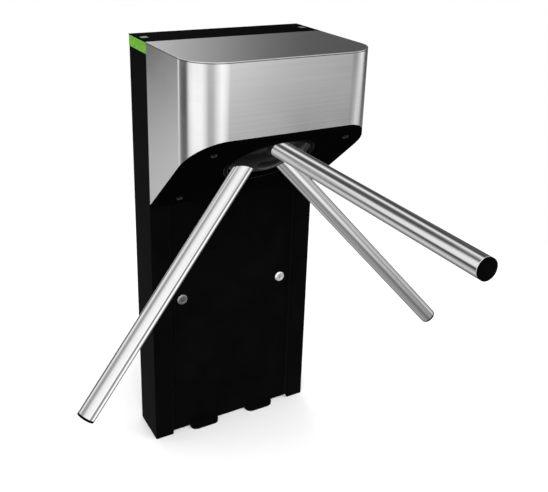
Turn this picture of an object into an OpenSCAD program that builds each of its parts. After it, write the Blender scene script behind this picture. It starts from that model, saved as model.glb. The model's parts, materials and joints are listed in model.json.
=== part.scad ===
// Tripod turnstile for controlled entrances: a slim floor-standing sheet-metal column,
// a stainless cover cut off on a slope, and three tubular arms on a hub that turns
// about an axis square to that slope. The arm that bars the way lies level.
//
// Frame: origin on the floor under the middle of the column, +Z up, -Y to the side
// that the arms point to, +X to the right of someone facing the arms.

/* [Column] */
// Width of the column and of the cover
column_w = 424; // [390:2:500]
// Depth of the column, front to back
column_d = 104; // [96:2:130]
// Height of the whole column
column_h = 1000; // [970:5:1050]
// Thickness of the column's folded sheet
sheet_t = 2; // [1.5:0.25:3]
// Width of each front flange, beside the service panel
flange_w = 47; // [40:1:56]
// Depth of the lip that is folded back along each flange
flange_lip = 16; // [14:1:20]

/* [Service panel] */
// How far the service panel lies behind the flanges
panel_recess = 10; // [6:1:12]
// Gap between the service panel and its surround
panel_gap = 2; // [1:0.5:3]
// Height of the lock centres above the floor
lock_z = 375; // [300:5:450]
// Distance of each lock from the panel's side edge
lock_inset = 29; // [26:1:40]
// Diameter of the lock's round face
lock_face_d = 25; // [22:1:28]

/* [Base] */
// Thickness of the floor plate
base_t = 8; // [6:1:12]
// Distance between the anchor holes, side to side
anchor_x = 158; // [140:2:200]
// Distance between the anchor holes, front to back
anchor_y = 64; // [56:2:70]
// Diameter of the anchor holes
anchor_d = 13; // [11:1:16]
// Width of each lug that shows in front of the panel
lug_w = 76; // [60:2:90]
// How far the lugs reach in front of the flanges
lug_reach = 11; // [6:1:20]

/* [Status lights] */
// Height of the light at each end of the column's top
light_h = 26; // [20:1:34]
// Wall of the light's lens
lens_t = 4; // [3:0.5:5]
// Side of the light's square window in the cap's top
window_w = 16; // [12:1:18]
// Distance of the window from the end of the cap
window_in = 8; // [7:1:12]

/* [Cover] */
// How far the cover stands out in front of the column
cover_reach = 241; // [230:1:260]
// Outer radius of the cover's upright front corners
cover_r = 75; // [60:1:90]
// Thickness of the cover's stainless sheet
cover_t = 1.5; // [1:0.25:2.5]
// Thickness of the plate that tops the cover
cover_top_t = 2; // [1.5:0.25:3]
// Height of the cover's sides where they meet the column
cover_side_h = 363; // [350:1:380]
// Edge of the underside panel that shows below the steel
underside_band = 6; // [4:1:8]
// Thickness of the underside panel
underside_t = 3; // [2:0.5:4]

/* [Tripod] */
// Slope of the hub's axis below the horizontal, in degrees
axis_tilt = 49; // [48:0.25:49.5]
// Depth of the level arm's centre line below the column's top
arm_drop = 200; // [190:1:205]
// Distance of the arms' meeting point in front of the column
apex_reach = 121; // [115:1:128]
// Distance from the arms' meeting point to the end of each tube
arm_end = 670; // [450:5:680]
// Outer diameter of the arms
arm_d = 38; // [34:1:40]
// Wall of the arm tubes
arm_wall = 2; // [1.5:0.25:3]
// Thickness of the caps that close the arms
arm_cap_t = 5; // [3:0.5:8]
// Outer radius of the hub
hub_r = 88; // [86:1:92]
// Slope of the hub's cone, in degrees
hub_slope = 21; // [18:1:25]
// Distance from the arms' meeting point to the mouth of each socket
socket_mouth = 78; // [76:1:82]
// Depth of each arm's socket
socket_depth = 24; // [22:1:26]

/* [Bearings and shaft] */
// Diameter of the main shaft
shaft_d = 30; // [28:1:32]
// Outer diameter of each ball bearing
bearing_od = 62; // [58:1:66]
// Width of each ball bearing
bearing_w = 16; // [14:1:18]
// Distance between the two bearings
bearing_gap = 34; // [26:2:40]

/* [Index mechanism] */
// Radius of the notched index disc
disc_r = 62; // [58:1:63]
// Thickness of the index disc
disc_t = 8; // [6:1:9]
// Depth of the disc's notches
notch_depth = 9; // [8:0.5:10]
// Width of the disc's notches
notch_w = 11; // [10:0.5:12]
// Teeth of the damper gear on the main shaft
gear_teeth = 48; // [48:24:96]
// Teeth of the damper's own pinion
pinion_teeth = 16; // [16:8:32]
// Distance from the main axis to the damper's axis
damper_x = 72; // [70:0.5:74]
// Travel of each pawl, in degrees
pawl_swing = 9; // [7:0.5:9]

/* [Hidden] */
$fn = 64;
// Clearances
overrun = 1;
seat_gap = 0.2;
run_gap = 0.05;
slide_gap = 0.3;

// Column places
half_w = column_w / 2;
front_y = -column_d / 2;
back_y = column_d / 2;
light_z = column_h - light_h;
opening_half = half_w - flange_w;
panel_half = opening_half - panel_gap;
panel_y = front_y + panel_recess;
panel_edge = flange_lip - panel_recess;
panel_foot = 2;
panel_head_gap = 4;
cap_skirt = 14;
light_pocket = 14;

// Slope of the underside
slope = 90 - axis_tilt;
cover_side_z = column_h - cover_side_h;
arm_z = column_h - arm_drop;
cover_front_y = front_y - cover_reach;
cover_front_z = cover_side_z + cover_reach * tan(slope);
apex_y = front_y - apex_reach;
edge_depth = (arm_z - cover_side_z) * sin(axis_tilt) - apex_reach * cos(axis_tilt);
face_depth = edge_depth + underside_band;
cover_top_z = column_h - cover_top_t;
spigot_t = 2;
spigot_h = 8;
face_y = apex_y - face_depth * cos(axis_tilt);
face_z = arm_z - face_depth * sin(axis_tilt);

// Height along the slope of a place at a world Y, in the layer h outward of the panel's face
function slope_y(y, h) = (face_y - h * cos(axis_tilt) - y) / sin(axis_tilt);
// World Z of the same place
function slope_z(y, h) = face_z - h * sin(axis_tilt) + slope_y(y, h) * cos(axis_tilt);

// Hub, measured outward from the underside panel's face
cone = axis_tilt;
hub_gap = 4;
hub_hole_r = hub_r + hub_gap;
hub_rear = -30;
hub_bevel = 4;
hub_nose_r = 40;
ring_w = 9;
ring_h = 3;
arm_fit = 0.05;
nut_recess_r = 24;
nut_recess_h = 16;
hub_nut_across = 44;
hub_cap_r = 31;
hub_cap_h = 5;
function cone_z(r) = socket_mouth * cos(cone) - face_depth - (r - socket_mouth * sin(cone)) * tan(hub_slope);
hub_nose = cone_z(hub_nose_r);
hub_shoulder = cone_z(hub_r);
socket_floor = socket_mouth - socket_depth;

// Screws that draw the arms into their sockets
arm_screw_d = 8;
arm_screw_head_d = 13;
arm_screw_head_h = 8;
arm_screw_key_d = 7;
arm_screw_seat_t = 9;
arm_screw_seat = socket_floor - arm_screw_seat_t;
arm_screw_len = 30;
arm_screw_way = 24;
arm_plug = 24;

// Bearing stack, measured outward from the panel's face
collar_wall = 3;
collar_w = 8;
collar_r = shaft_d / 2 + collar_wall;
front_bearing_z = hub_rear - collar_w - bearing_w;
rear_bearing_z = front_bearing_z - bearing_gap - bearing_w;
housing_wall = 7;
housing_r = bearing_od / 2 + housing_wall;
housing_flange_w = 13;
housing_flange_r = housing_r + housing_flange_w;
housing_flange_t = 8;
housing_land = 5;
plate_t = 6;
plate_front = rear_bearing_z;
plate_rear = plate_front - plate_t;
plate_hole_gap = 5;
plate_hole_r = collar_r + plate_hole_gap;
disc_gap = 6;
disc_front = plate_rear - disc_gap;
disc_rear = disc_front - disc_t;
gear_w = 7;
gear_boss = 3;
gear_front = disc_rear - gear_boss;
gear_rear = gear_front - gear_w;
encoder_gap = 10;
encoder_t = 1.5;
encoder_front = gear_rear - encoder_gap;
encoder_rear = encoder_front - encoder_t;
encoder_r = 42;
nut_h = 12;
shaft_nut_across = 46;
thread_rear = 3;
thread_front = 2;
shaft_rear = encoder_rear - nut_h - thread_rear;
shaft_front = hub_nose - nut_recess_h + nut_h + thread_front;
notches = 12;

// Gears
gear_module = 2 * damper_x / (gear_teeth + pinion_teeth);
tooth_backlash = 0.6;
tooth_flank = 20;
tooth_rise_share = 0.9;
tooth_root_share = 1.25;

// Damper
damper_r = 18;
damper_len = 34;
damper_shaft_d = 8;

// Head frame
cheek_t = 3;
cheek_out = 7;
cheek_half = opening_half + cheek_out;
cheek_foot = 30;
cheek_top_gap = 24;
cheek_top = cover_top_z - cheek_top_gap;
cheek_front_gap = 30;
cheek_front_y = cover_front_y + cheek_front_gap;
lip_w = 34;
lip_t = 3;
lip_z = -18;
plate_half = cheek_half - cheek_t;
plate_off = 3;
plate_low = slope_y(front_y, plate_rear) + plate_off;
plate_high = 124;
plate_lip = 18;
plate_lip_low = slope_y(front_y, plate_rear - plate_lip) + plate_off;
plate_bolt_low = -74;
plate_bolt_high = 96;
plate_bolt_ys = [plate_bolt_low, plate_bolt_high];
foot_bolt_rise = 90;
foot_bolt_drop = 40;
foot_bolt_zs = [cover_side_z + foot_bolt_rise, cheek_top - foot_bolt_drop];
foot_bolt_x = cheek_half + cheek_foot / 2;
frame_bolt_d = 8;
frame_bolt_head = 14;
frame_bolt_head_h = 5;
frame_bolt_len = 12;
housing_bolt_head = 13;
bolt_end = 1;
flange_bolt_r = housing_r + housing_flange_w / 2;
screw_d = 6;
screw_head_d = 12;
screw_inset = 42;
screw_x = cheek_half - lip_w / 2;
screw_near = slope_y(front_y, 0) + screw_inset;
screw_far = slope_y(cover_front_y, 0) - screw_inset;
spacer_d = 14;

// Pawls and solenoids, in the plane of the index disc
pawl_angle = 360 / notches;
pawl_pivot_off = 10;
pawl_pivot_y = disc_r + pawl_pivot_off;
lever_room = 80;
lever_span = plate_half - lever_room;
tail_share = 34 / 89;
pawl_tail = lever_span * tail_share;
pawl_reach = lever_span - pawl_tail;
pawl_w = 13;
pawl_pin_d = 8;
pawl_slack = 0.5;
pawl_t = disc_t - 2 * pawl_slack;
pawl_front = disc_front - pawl_slack;
pawl_rear = pawl_front - pawl_t;
pawl_head_off = 18;
pawl_head_y = disc_r + pawl_head_off;
nose_gap = 2;
nose_w = 7;
nose_tip_w = 5.6;
plunger_d = 10;
plunger_pin_d = 4;
plunger_len = 32;
plunger_gap = 1.5;
plunger_off = pawl_w / 2 + plunger_gap;
solenoid_w = 26;
solenoid_h = 24;
solenoid_len = 40;
solenoid_off = 20;
plunger_travel = pawl_tail * sin(pawl_swing);
solenoid_bore_len = plunger_off + plunger_len + plunger_travel + plunger_gap - solenoid_off;
solenoid_z = plate_rear - solenoid_h / 2;
tongue_t = 4;
pin_head_h = 2.5;
pin_head_d = 13;
sensor_w = 16;
sensor_post = 6;
sensor_bite = 8;
sensor_jaw = 5;
sensor_slot = 4.5;

// Electronics
board_t = 1.6;
board_w = 220;
board_h = 150;
board_drop = 300;
board_z = column_h - board_drop;
standoff_d = 8;
standoff_h = 10;
supply_w = 110;
supply_d = 38;
supply_h = 160;
supply_drop = 520;
supply_z = column_h - supply_drop;

// Locks
lock_sleeve_d = 19;
lock_core_d = 12;
lock_bezel_h = 4;
lock_nut_h = panel_edge - sheet_t;
lock_sleeve_h = panel_edge;
lock_cam_t = 3;
lock_cam_w = 14;
lock_x = panel_half - lock_inset;
cam_y = front_y + flange_lip + slide_gap;

// Places children on the hub's axis, +Z outward, from the middle of the panel's face
module on_face() {
    translate([0, apex_y, arm_z])
        rotate([90 + axis_tilt, 0, 0])
            translate([0, 0, face_depth])
                children();
}

// Places children along arm number k, +Z along the arm from the arms' meeting point
module on_arm(k) {
    translate([0, apex_y, arm_z])
        rotate([90 + axis_tilt, 0, 0])
            rotate([0, 0, 120 * k])
                rotate([-cone, 0, 0])
                    children();
}

// Places children at a pawl: +Y along the radius through the nose, on the right or left
module on_pawl(side) {
    mirror([side < 0 ? 1 : 0, 0, 0])
        rotate([0, 0, -pawl_angle])
            children();
}

// A ring or disc on the Z axis between two heights
module ring(outer, inner, low, high) {
    rotate_extrude()
        translate([inner, low])
            square([outer - inner, high - low]);
}

// A plain pin on the Z axis between two heights
module pin(r, low, high) {
    translate([0, 0, low])
        cylinder(r = r, h = high - low);
}

// Points of an arc, for outlines
function arc(c, r, from, to, steps) =
    [for (i = [0 : steps]) c + r * [cos(from + (to - from) * i / steps), sin(from + (to - from) * i / steps)]];

// Plan of the cover, drawn inward by a wall
module cover_plan(wall) {
    r = cover_r - wall;
    translate([-half_w + wall, cover_front_y + cover_r])
        square([column_w - 2 * wall, cover_reach - cover_r]);
    translate([-half_w + cover_r, cover_front_y + wall])
        square([column_w - 2 * cover_r, cover_reach - wall]);
    for (side = [-1, 1])
        translate([side * (half_w - cover_r), cover_front_y + cover_r])
            circle(r = r);
}

// Everything above the slope, moved outward along the hub's axis from the steel edge
module above_slope(out) {
    reach = column_h + column_w;
    on_face()
        translate([-reach / 2, -reach / 2, -underside_band + out - reach])
            cube([reach, reach, reach]);
}

// A bolt along Z with a hexagon head, its seat at zero and its shank downward
module hex_bolt(d, head_d, head_h, shank) {
    cylinder(d = head_d, h = head_h, $fn = 6);
    pin(d / 2, -shank, 0);
}

// Floor plate with two rounded lugs under the service panel, anchor holes and a cable opening
module base_plate() {
    floor_half = half_w - sheet_t;
    floor_front = panel_y + sheet_t + panel_gap;
    lug_front = front_y - lug_reach;
    lug_round = lug_reach + panel_recess / 2;
    color("#202224")
        difference() {
            union() {
                difference() {
                    translate([-floor_half, front_y + sheet_t, 0])
                        cube([2 * floor_half, column_d - 2 * sheet_t, base_t]);
                    translate([-opening_half - sheet_t, front_y, -overrun])
                        cube([2 * opening_half + 2 * sheet_t, floor_front - front_y, base_t + 2 * overrun]);
                }
                for (side = [-1, 1])
                    translate([side * anchor_x / 2, 0, 0])
                        linear_extrude(base_t) {
                            translate([-lug_w / 2, lug_front + lug_round])
                                square([lug_w, floor_front - lug_front - lug_round + overrun]);
                            translate([-lug_w / 2 + lug_round, lug_front])
                                square([lug_w - 2 * lug_round, lug_round]);
                            for (end = [-1, 1])
                                translate([end * (lug_w / 2 - lug_round), lug_front + lug_round])
                                    circle(r = lug_round);
                        }
            }
            for (x = [-1, 1], y = [-1, 1])
                translate([x * anchor_x / 2, y * anchor_y / 2, 0])
                    pin(anchor_d / 2, -overrun, base_t + overrun);
            linear_extrude(base_t + overrun)
                cable_slot();
            translate([0, 0, -overrun])
                linear_extrude(2 * overrun)
                    cable_slot();
        }
}

// Opening in the floor plate through which the supply enters
module cable_slot() {
    slot_r = anchor_d;
    slot_half = anchor_x / 2 - 3 * anchor_d;
    translate([-slot_half, -slot_r])
        square([2 * slot_half, 2 * slot_r]);
    for (side = [-1, 1])
        translate([side * slot_half, 0])
            circle(r = slot_r);
}

// Folded column: back, two sides, two front flanges and their lips
module column_shell() {
    lip_foot = base_t + panel_gap;
    color("#101113")
        difference() {
            linear_extrude(light_z)
                column_section();
            translate([-opening_half - 2 * sheet_t, front_y + sheet_t, -overrun])
                cube([2 * opening_half + 4 * sheet_t, flange_lip, lip_foot + overrun]);
            for (side = [-1, 1], z = foot_bolt_zs)
                translate([side * foot_bolt_x, front_y, z])
                    rotate([90, 0, 0])
                        pin(frame_bolt_d / 2 + slide_gap, -sheet_t - overrun, overrun);
        }
}

module column_section() {
    difference() {
        translate([-half_w, front_y])
            square([column_w, column_d]);
        difference() {
            translate([-half_w + sheet_t, front_y + sheet_t])
                square([column_w - 2 * sheet_t, column_d - 2 * sheet_t]);
            for (side = [-1, 1])
                translate([side * (opening_half + sheet_t / 2) - sheet_t / 2, front_y])
                    square([sheet_t, flange_lip]);
        }
        translate([-opening_half, front_y - overrun])
            square([2 * opening_half, sheet_t + 2 * overrun]);
    }
}

// Black cap over the column between the two lights
module column_cap() {
    end = half_w - lens_t - slide_gap;
    color("#121315")
        union() {
            difference() {
                union() {
                    translate([-end, front_y, light_z])
                        cube([2 * end, column_d, light_h]);
                    translate([-half_w, front_y, column_h - sheet_t])
                        cube([column_w, column_d, sheet_t]);
                }
                translate([-end + sheet_t + light_pocket, front_y + sheet_t, light_z - overrun])
                    cube([2 * end - 2 * light_pocket - 2 * sheet_t, column_d - 2 * sheet_t, light_h - sheet_t + overrun]);
                for (side = [0, 1])
                    mirror([side, 0, 0]) {
                        window_block(slide_gap, overrun);
                        translate([end, 0, light_z + light_h / 2 - lens_t])
                            cube([light_pocket, column_d - 4 * lens_t, light_h - 4 * lens_t], center = true);
                    }
            }
            difference() {
                translate([-half_w + sheet_t + seat_gap, front_y + sheet_t + seat_gap, light_z - cap_skirt])
                    cube([column_w - 2 * sheet_t - 2 * seat_gap, column_d - 2 * sheet_t - 2 * seat_gap, cap_skirt]);
                translate([-half_w + 2 * sheet_t, front_y + 2 * sheet_t, light_z - cap_skirt - overrun])
                    cube([column_w - 4 * sheet_t, column_d - 4 * sheet_t, cap_skirt + 2 * overrun]);
                translate([-opening_half - 2 * sheet_t, front_y, light_z - cap_skirt - overrun])
                    cube([2 * opening_half + 4 * sheet_t, flange_lip + sheet_t, cap_skirt + overrun]);
            }
        }
}

// Light lens at one end of the cap: an end wall, and a ledge that ends in a window through the cap's top
module light_lens(side) {
    color("#6bbf2e")
        mirror([side < 0 ? 1 : 0, 0, 0])
            union() {
                translate([half_w - lens_t, front_y, light_z])
                    cube([lens_t, column_d, light_h - sheet_t - seat_gap]);
                window_block(0, 0);
            }
}

// The right-hand lens's ledge and window, drawn larger by a gap, its top raised by a height
module window_block(gap, rise) {
    inner = half_w - window_in - window_w - gap;
    width = window_w + 2 * gap;
    ledge_z = column_h - sheet_t - seat_gap - lens_t - gap;
    ledge_h = lens_t + gap + (gap > 0 ? seat_gap : 0);
    translate([inner, -width / 2, ledge_z])
        cube([half_w - lens_t - inner + sheet_t, width, ledge_h]);
    translate([inner, -width / 2, ledge_z])
        cube([width, width, column_h + rise - ledge_z]);
}

// Light board behind one lens, with its row of lamps
module led_board(side) {
    lamps = 5;
    len = column_d - 6 * lens_t;
    board_high = light_h - 5 * lens_t;
    lamp = board_high / 2;
    face = half_w - lens_t - light_pocket / 2 - slide_gap;
    mid_z = light_z + light_h / 2 - lens_t;
    color("#1d5c34")
        mirror([side < 0 ? 1 : 0, 0, 0])
            union() {
                translate([face, -len / 2, mid_z - board_high / 2])
                    cube([board_t, len, board_high]);
                for (i = [0 : lamps - 1])
                    translate([face + board_t, (i - (lamps - 1) / 2) * len / lamps, mid_z])
                        rotate([0, 90, 0])
                            cylinder(d = lamp, h = lamp / 2);
            }
}

// Service panel: a shallow folded tray between the flanges, with a hole for each lock
module front_panel() {
    top = cover_side_z - panel_head_gap;
    inner = panel_half - sheet_t;
    color("#0e0f11")
        difference() {
            translate([-panel_half, panel_y, panel_foot])
                cube([2 * panel_half, panel_edge, top - panel_foot]);
            translate([-inner, panel_y + sheet_t, panel_foot - overrun])
                cube([2 * inner, panel_edge, top - panel_foot - sheet_t + overrun]);
            translate([-panel_half - overrun, panel_y + sheet_t, panel_foot - overrun])
                cube([2 * panel_half + 2 * overrun, panel_edge, base_t + overrun]);
            for (side = [-1, 1])
                translate([side * anchor_x / 2 - lug_w / 2 - panel_gap, panel_y - overrun, -overrun])
                    cube([lug_w + 2 * panel_gap, panel_edge + 2 * overrun, base_t + panel_gap + overrun]);
            for (side = [-1, 1])
                at_lock(side)
                    pin(lock_sleeve_d / 2 + run_gap, -2 * sheet_t, sheet_t);
        }
}

// Places children on a lock's axis, +Z to the front, zero on the panel's face
module at_lock(side) {
    translate([side * lock_x, panel_y, lock_z])
        rotate([90, 0, 0])
            children();
}

// Fixed part of a lock: round face in front, sleeve through the panel
module lock_body(side) {
    core = lock_core_d / 2 + run_gap;
    color("#c9ccd0")
        at_lock(side)
            rotate_extrude()
                polygon([
                    [core, -lock_sleeve_h], [lock_sleeve_d / 2, -lock_sleeve_h], [lock_sleeve_d / 2, 0],
                    [lock_face_d / 2, 0], [lock_face_d / 2, lock_bezel_h / 2],
                    [lock_face_d / 2 - lock_bezel_h / 2, lock_bezel_h], [core, lock_bezel_h]
                ]);
}

// Nuts that clamp both locks from behind the panel
module lock_nuts() {
    color("#9a9da1")
        for (side = [-1, 1])
            at_lock(side)
                difference() {
                    translate([0, 0, -sheet_t - lock_nut_h])
                        cylinder(d = lock_face_d, h = lock_nut_h, $fn = 6);
                    pin(lock_sleeve_d / 2 + run_gap, -sheet_t - lock_nut_h - overrun, -sheet_t + overrun);
                }
}

// Turning core of a lock, with its key slot and a square tail for the cam
module lock_core(side) {
    slot_w = lock_core_d / 5;
    slot_h = lock_core_d * 2 / 3;
    tail = lock_core_d * 2 / 3;
    cam_back = cam_y + lock_cam_t - panel_y;
    color("#b4b7bb")
        at_lock(side)
            difference() {
                union() {
                    pin(lock_core_d / 2, -lock_sleeve_h, lock_bezel_h - slide_gap);
                    translate([-tail / 2, -tail / 2, -cam_back - lock_cam_t])
                        cube([tail, tail, cam_back + lock_cam_t - lock_sleeve_h + overrun]);
                }
                translate([-slot_w / 2, -slot_h / 2, -lock_bezel_h])
                    cube([slot_w, slot_h, 3 * lock_bezel_h]);
            }
}

// Cam that holds the panel behind the flange's lip
module lock_cam(side) {
    tail = lock_core_d * 2 / 3 + 2 * run_gap;
    reach = opening_half + 2 * sheet_t + lock_cam_w / 2 - lock_x;
    color("#a9acb0")
        translate([side * lock_x, cam_y + lock_cam_t, lock_z])
            rotate([90, 0, 0])
                difference() {
                    union() {
                        pin(lock_cam_w * 2 / 3, 0, lock_cam_t);
                        translate([side < 0 ? -reach : 0, -lock_cam_w / 2, 0])
                            cube([reach, lock_cam_w, lock_cam_t]);
                    }
                    translate([-tail / 2, -tail / 2, -overrun])
                        cube([tail, tail, lock_cam_t + 2 * overrun]);
                }
}

// Stainless band: front and sides in one bent sheet, its lower edge on the slope
module cover_shell() {
    color("#c3c6c9")
        intersection() {
            translate([0, 0, cover_side_z - overrun])
                linear_extrude(cover_top_z - cover_side_z + overrun)
                    difference() {
                        cover_plan(0);
                        cover_plan(cover_t);
                    }
            above_slope(0);
        }
}

// Stainless top of the cover, a separate plate with the band's outline
module cover_top() {
    color("#babdc0")
        translate([0, 0, cover_top_z])
            linear_extrude(cover_top_t)
                cover_plan(0);
}

// Black panel that closes the slope: a rounded tray with its edge showing under the steel
module underside_panel() {
    band_top = -underside_band;
    color("#0d0e10")
        difference() {
            union() {
                intersection() {
                    slope_prism(0);
                    slope_slab(-underside_band, 0);
                }
                intersection() {
                    slope_prism(cover_t + seat_gap);
                    slope_slab(-underside_band - spigot_h, -underside_t);
                }
            }
            intersection() {
                slope_prism(cover_t + seat_gap + spigot_t);
                slope_slab(-underside_band - spigot_h - overrun, -underside_t);
            }
            on_face()
                pin(hub_hole_r, band_top - spigot_h - 2 * overrun, overrun);
            on_face()
                at_screws()
                    pin(screw_d / 2 + slide_gap, -underside_t - overrun, overrun);
        }
}

// Upright prism of the cover's plan, tall enough to cross the slope
module slope_prism(wall) {
    drop = 2 * (underside_band + spigot_h);
    translate([0, 0, cover_side_z - drop])
        linear_extrude(cover_front_z - cover_side_z + 2 * drop)
            cover_plan(wall);
}

// Slab between two heights along the hub's axis
module slope_slab(low, high) {
    reach = column_h;
    on_face()
        translate([-reach / 2, -reach / 2, low])
            cube([reach, reach, high - low]);
}

// The four places where screws hold the underside panel
module at_screws() {
    for (side = [-1, 1], y = [screw_near, screw_far])
        translate([side * screw_x, y, 0])
            children();
}

// Collar round the hub's opening
module hub_ring() {
    color("#17181a")
        on_face()
            rotate_extrude()
                polygon([
                    [hub_hole_r, 0], [hub_hole_r + ring_w, 0], [hub_hole_r + ring_w, ring_h / 2],
                    [hub_hole_r + ring_w - ring_h / 2, ring_h], [hub_hole_r + ring_h / 2, ring_h],
                    [hub_hole_r, ring_h / 2]
                ]);
}

// Low-headed screws through the underside panel
module underside_screws() {
    color("#1a1b1d")
        on_face()
            at_screws()
                difference() {
                    union() {
                        pin(screw_d / 2, lip_z - lip_t, 0);
                        pin(screw_head_d / 2, 0, screw_d / 2);
                    }
                    translate([0, 0, screw_d / 4])
                        cylinder(d = screw_d, h = screw_d, $fn = 6);
                }
}

// Spacer tubes between the panel and the cheeks' lips
module panel_spacers() {
    color("#8a8d91")
        on_face()
            at_screws()
                ring(spacer_d / 2, screw_d / 2 + slide_gap, lip_z, -underside_t);
}

// Side cheek of the head frame: foot on the column's flange, lip along the slope
module cheek(side) {
    low_rear = slope_z(front_y, lip_z);
    low_front = slope_z(cheek_front_y, lip_z);
    color("#6f7275")
        mirror([side < 0 ? 1 : 0, 0, 0])
            difference() {
                union() {
                    translate([plate_half, 0, 0])
                        rotate([90, 0, 90])
                            linear_extrude(cheek_t)
                                polygon([
                                    [front_y, low_rear], [cheek_front_y, low_front],
                                    [cheek_front_y, cheek_top], [front_y, cheek_top]
                                ]);
                    translate([plate_half, front_y - cheek_t, low_rear + cheek_foot])
                        cube([cheek_t + cheek_foot, cheek_t, cheek_top - low_rear - cheek_foot]);
                    cheek_lip();
                }
                on_face()
                    for (y = [screw_near, screw_far])
                        translate([screw_x, y, 0])
                            pin(screw_d / 2 + run_gap, lip_z - lip_t - overrun, lip_z + overrun);
                for (y = plate_bolt_ys)
                    at_plate_bolt(y)
                        pin(frame_bolt_d / 2 + run_gap, -cheek_t - overrun, overrun);
                for (z = foot_bolt_zs)
                    translate([foot_bolt_x, front_y - cheek_t, z])
                        rotate([90, 0, 0])
                            pin(frame_bolt_d / 2 + run_gap, -cheek_t - overrun, overrun);
            }
}

// Inward lip of a cheek, parallel to the underside panel
module cheek_lip() {
    rear = slope_y(front_y - cheek_t, lip_z);
    front = slope_y(cheek_front_y, lip_z);
    on_face()
        translate([cheek_half - lip_w, rear, lip_z - lip_t])
            cube([lip_w, front - rear, lip_t]);
}

// Places children at a bolt between the right cheek and the mechanism plate, +Z outward
module at_plate_bolt(y) {
    on_face()
        translate([cheek_half, y, plate_rear - plate_lip / 2])
            rotate([0, 90, 0])
                children();
}

// Hexagon bolts of the head frame: cheeks to column, plate to cheeks, housing to plate
module frame_bolts() {
    color("#9fa2a6") {
        for (side = [0, 1])
            mirror([side, 0, 0]) {
                for (z = foot_bolt_zs)
                    translate([foot_bolt_x, front_y - cheek_t, z])
                        rotate([90, 0, 0])
                            hex_bolt(frame_bolt_d, frame_bolt_head, frame_bolt_head_h, frame_bolt_len);
                for (y = plate_bolt_ys)
                    at_plate_bolt(y)
                        hex_bolt(frame_bolt_d, frame_bolt_head, frame_bolt_head_h, frame_bolt_len);
            }
        at_housing_bolts()
            translate([0, 0, plate_front + housing_flange_t])
                hex_bolt(frame_bolt_d, housing_bolt_head, frame_bolt_head_h, housing_flange_t + plate_t + bolt_end);
    }
}

// The four bolts round the bearing housing's flange
module at_housing_bolts() {
    on_face()
        for (i = [0 : 3])
            rotate([0, 0, 45 + 90 * i])
                translate([flange_bolt_r, 0, 0])
                    children();
}

// Inclined plate that carries the bearing housing and the index mechanism
module mechanism_plate() {
    color("#7b7e81")
        difference() {
            on_face()
                union() {
                    translate([-plate_half, plate_low, plate_rear])
                        cube([2 * plate_half, plate_high - plate_low, plate_t]);
                    for (side = [-1, 1])
                        translate([side * (plate_half - cheek_t / 2) - cheek_t / 2, plate_lip_low, plate_rear - plate_lip])
                            cube([cheek_t, plate_high - plate_lip_low, plate_lip + plate_t]);
                }
            on_face()
                pin(plate_hole_r, plate_rear - overrun, plate_front + overrun);
            on_face()
                translate([0, -damper_x, 0])
                    pin(damper_shaft_d / 2 + slide_gap, plate_rear - overrun, plate_front + overrun);
            at_housing_bolts()
                pin(frame_bolt_d / 2 + run_gap, plate_rear - overrun, plate_front + overrun);
            for (side = [-1, 1])
                on_face()
                    on_pawl(side)
                        translate([pawl_reach, pawl_pivot_y, 0])
                            pin(pawl_pin_d / 2 + run_gap, plate_rear - overrun, plate_front + overrun);
            for (side = [0, 1], y = plate_bolt_ys)
                mirror([side, 0, 0])
                    at_plate_bolt(y)
                        pin(frame_bolt_d / 2 + run_gap, -frame_bolt_len - overrun, overrun);
        }
}

// Flanged housing with a seat for a ball bearing at each end
module bearing_housing() {
    bore = bearing_od / 2;
    land = bore - housing_land;
    front = front_bearing_z + bearing_w;
    color("#85888c")
        difference() {
            on_face()
                rotate_extrude()
                    polygon([
                        [bore, plate_front], [housing_flange_r, plate_front],
                        [housing_flange_r, plate_front + housing_flange_t],
                        [housing_r, plate_front + housing_flange_t], [housing_r, front], [bore, front],
                        [bore, front_bearing_z], [land, front_bearing_z],
                        [land, rear_bearing_z + bearing_w], [bore, rear_bearing_z + bearing_w]
                    ]);
            at_housing_bolts()
                pin(frame_bolt_d / 2 + run_gap, plate_front - overrun, plate_front + housing_flange_t + overrun);
        }
}

// Outer ring and seal of one ball bearing
module bearing_outer(low) {
    color("#b9bcc0")
        on_face()
            ring(bearing_od / 2, collar_r + run_gap, low, low + bearing_w);
}

// Inner rings of both bearings, carried on the shaft
module bearing_inner_rings() {
    color("#c4c7ca")
        on_face()
            for (low = [front_bearing_z, rear_bearing_z])
                ring(collar_r, shaft_d / 2 + run_gap, low, low + bearing_w);
}

// Retaining ring on the front of the housing
module bearing_cover() {
    front = front_bearing_z + bearing_w;
    color("#74777a")
        on_face()
            ring(housing_r, collar_r + housing_land / 2, front, front + cheek_t);
}

// Tube between the two inner rings
module bearing_spacer() {
    color("#a4a7aa")
        on_face()
            ring(collar_r, shaft_d / 2 + run_gap, rear_bearing_z + bearing_w, front_bearing_z);
}

// Main shaft with the collar that the hub is drawn against
module main_shaft() {
    r = shaft_d / 2;
    collar_rear = front_bearing_z + bearing_w;
    bevel = r / 10;
    color("#aeb1b5")
        on_face()
            rotate_extrude()
                polygon([
                    [0, shaft_rear], [r - bevel, shaft_rear], [r, shaft_rear + bevel], [r, collar_rear],
                    [collar_r, collar_rear], [collar_r, hub_rear], [r, hub_rear],
                    [r, shaft_front - bevel], [r - bevel, shaft_front], [0, shaft_front]
                ]);
}

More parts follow.
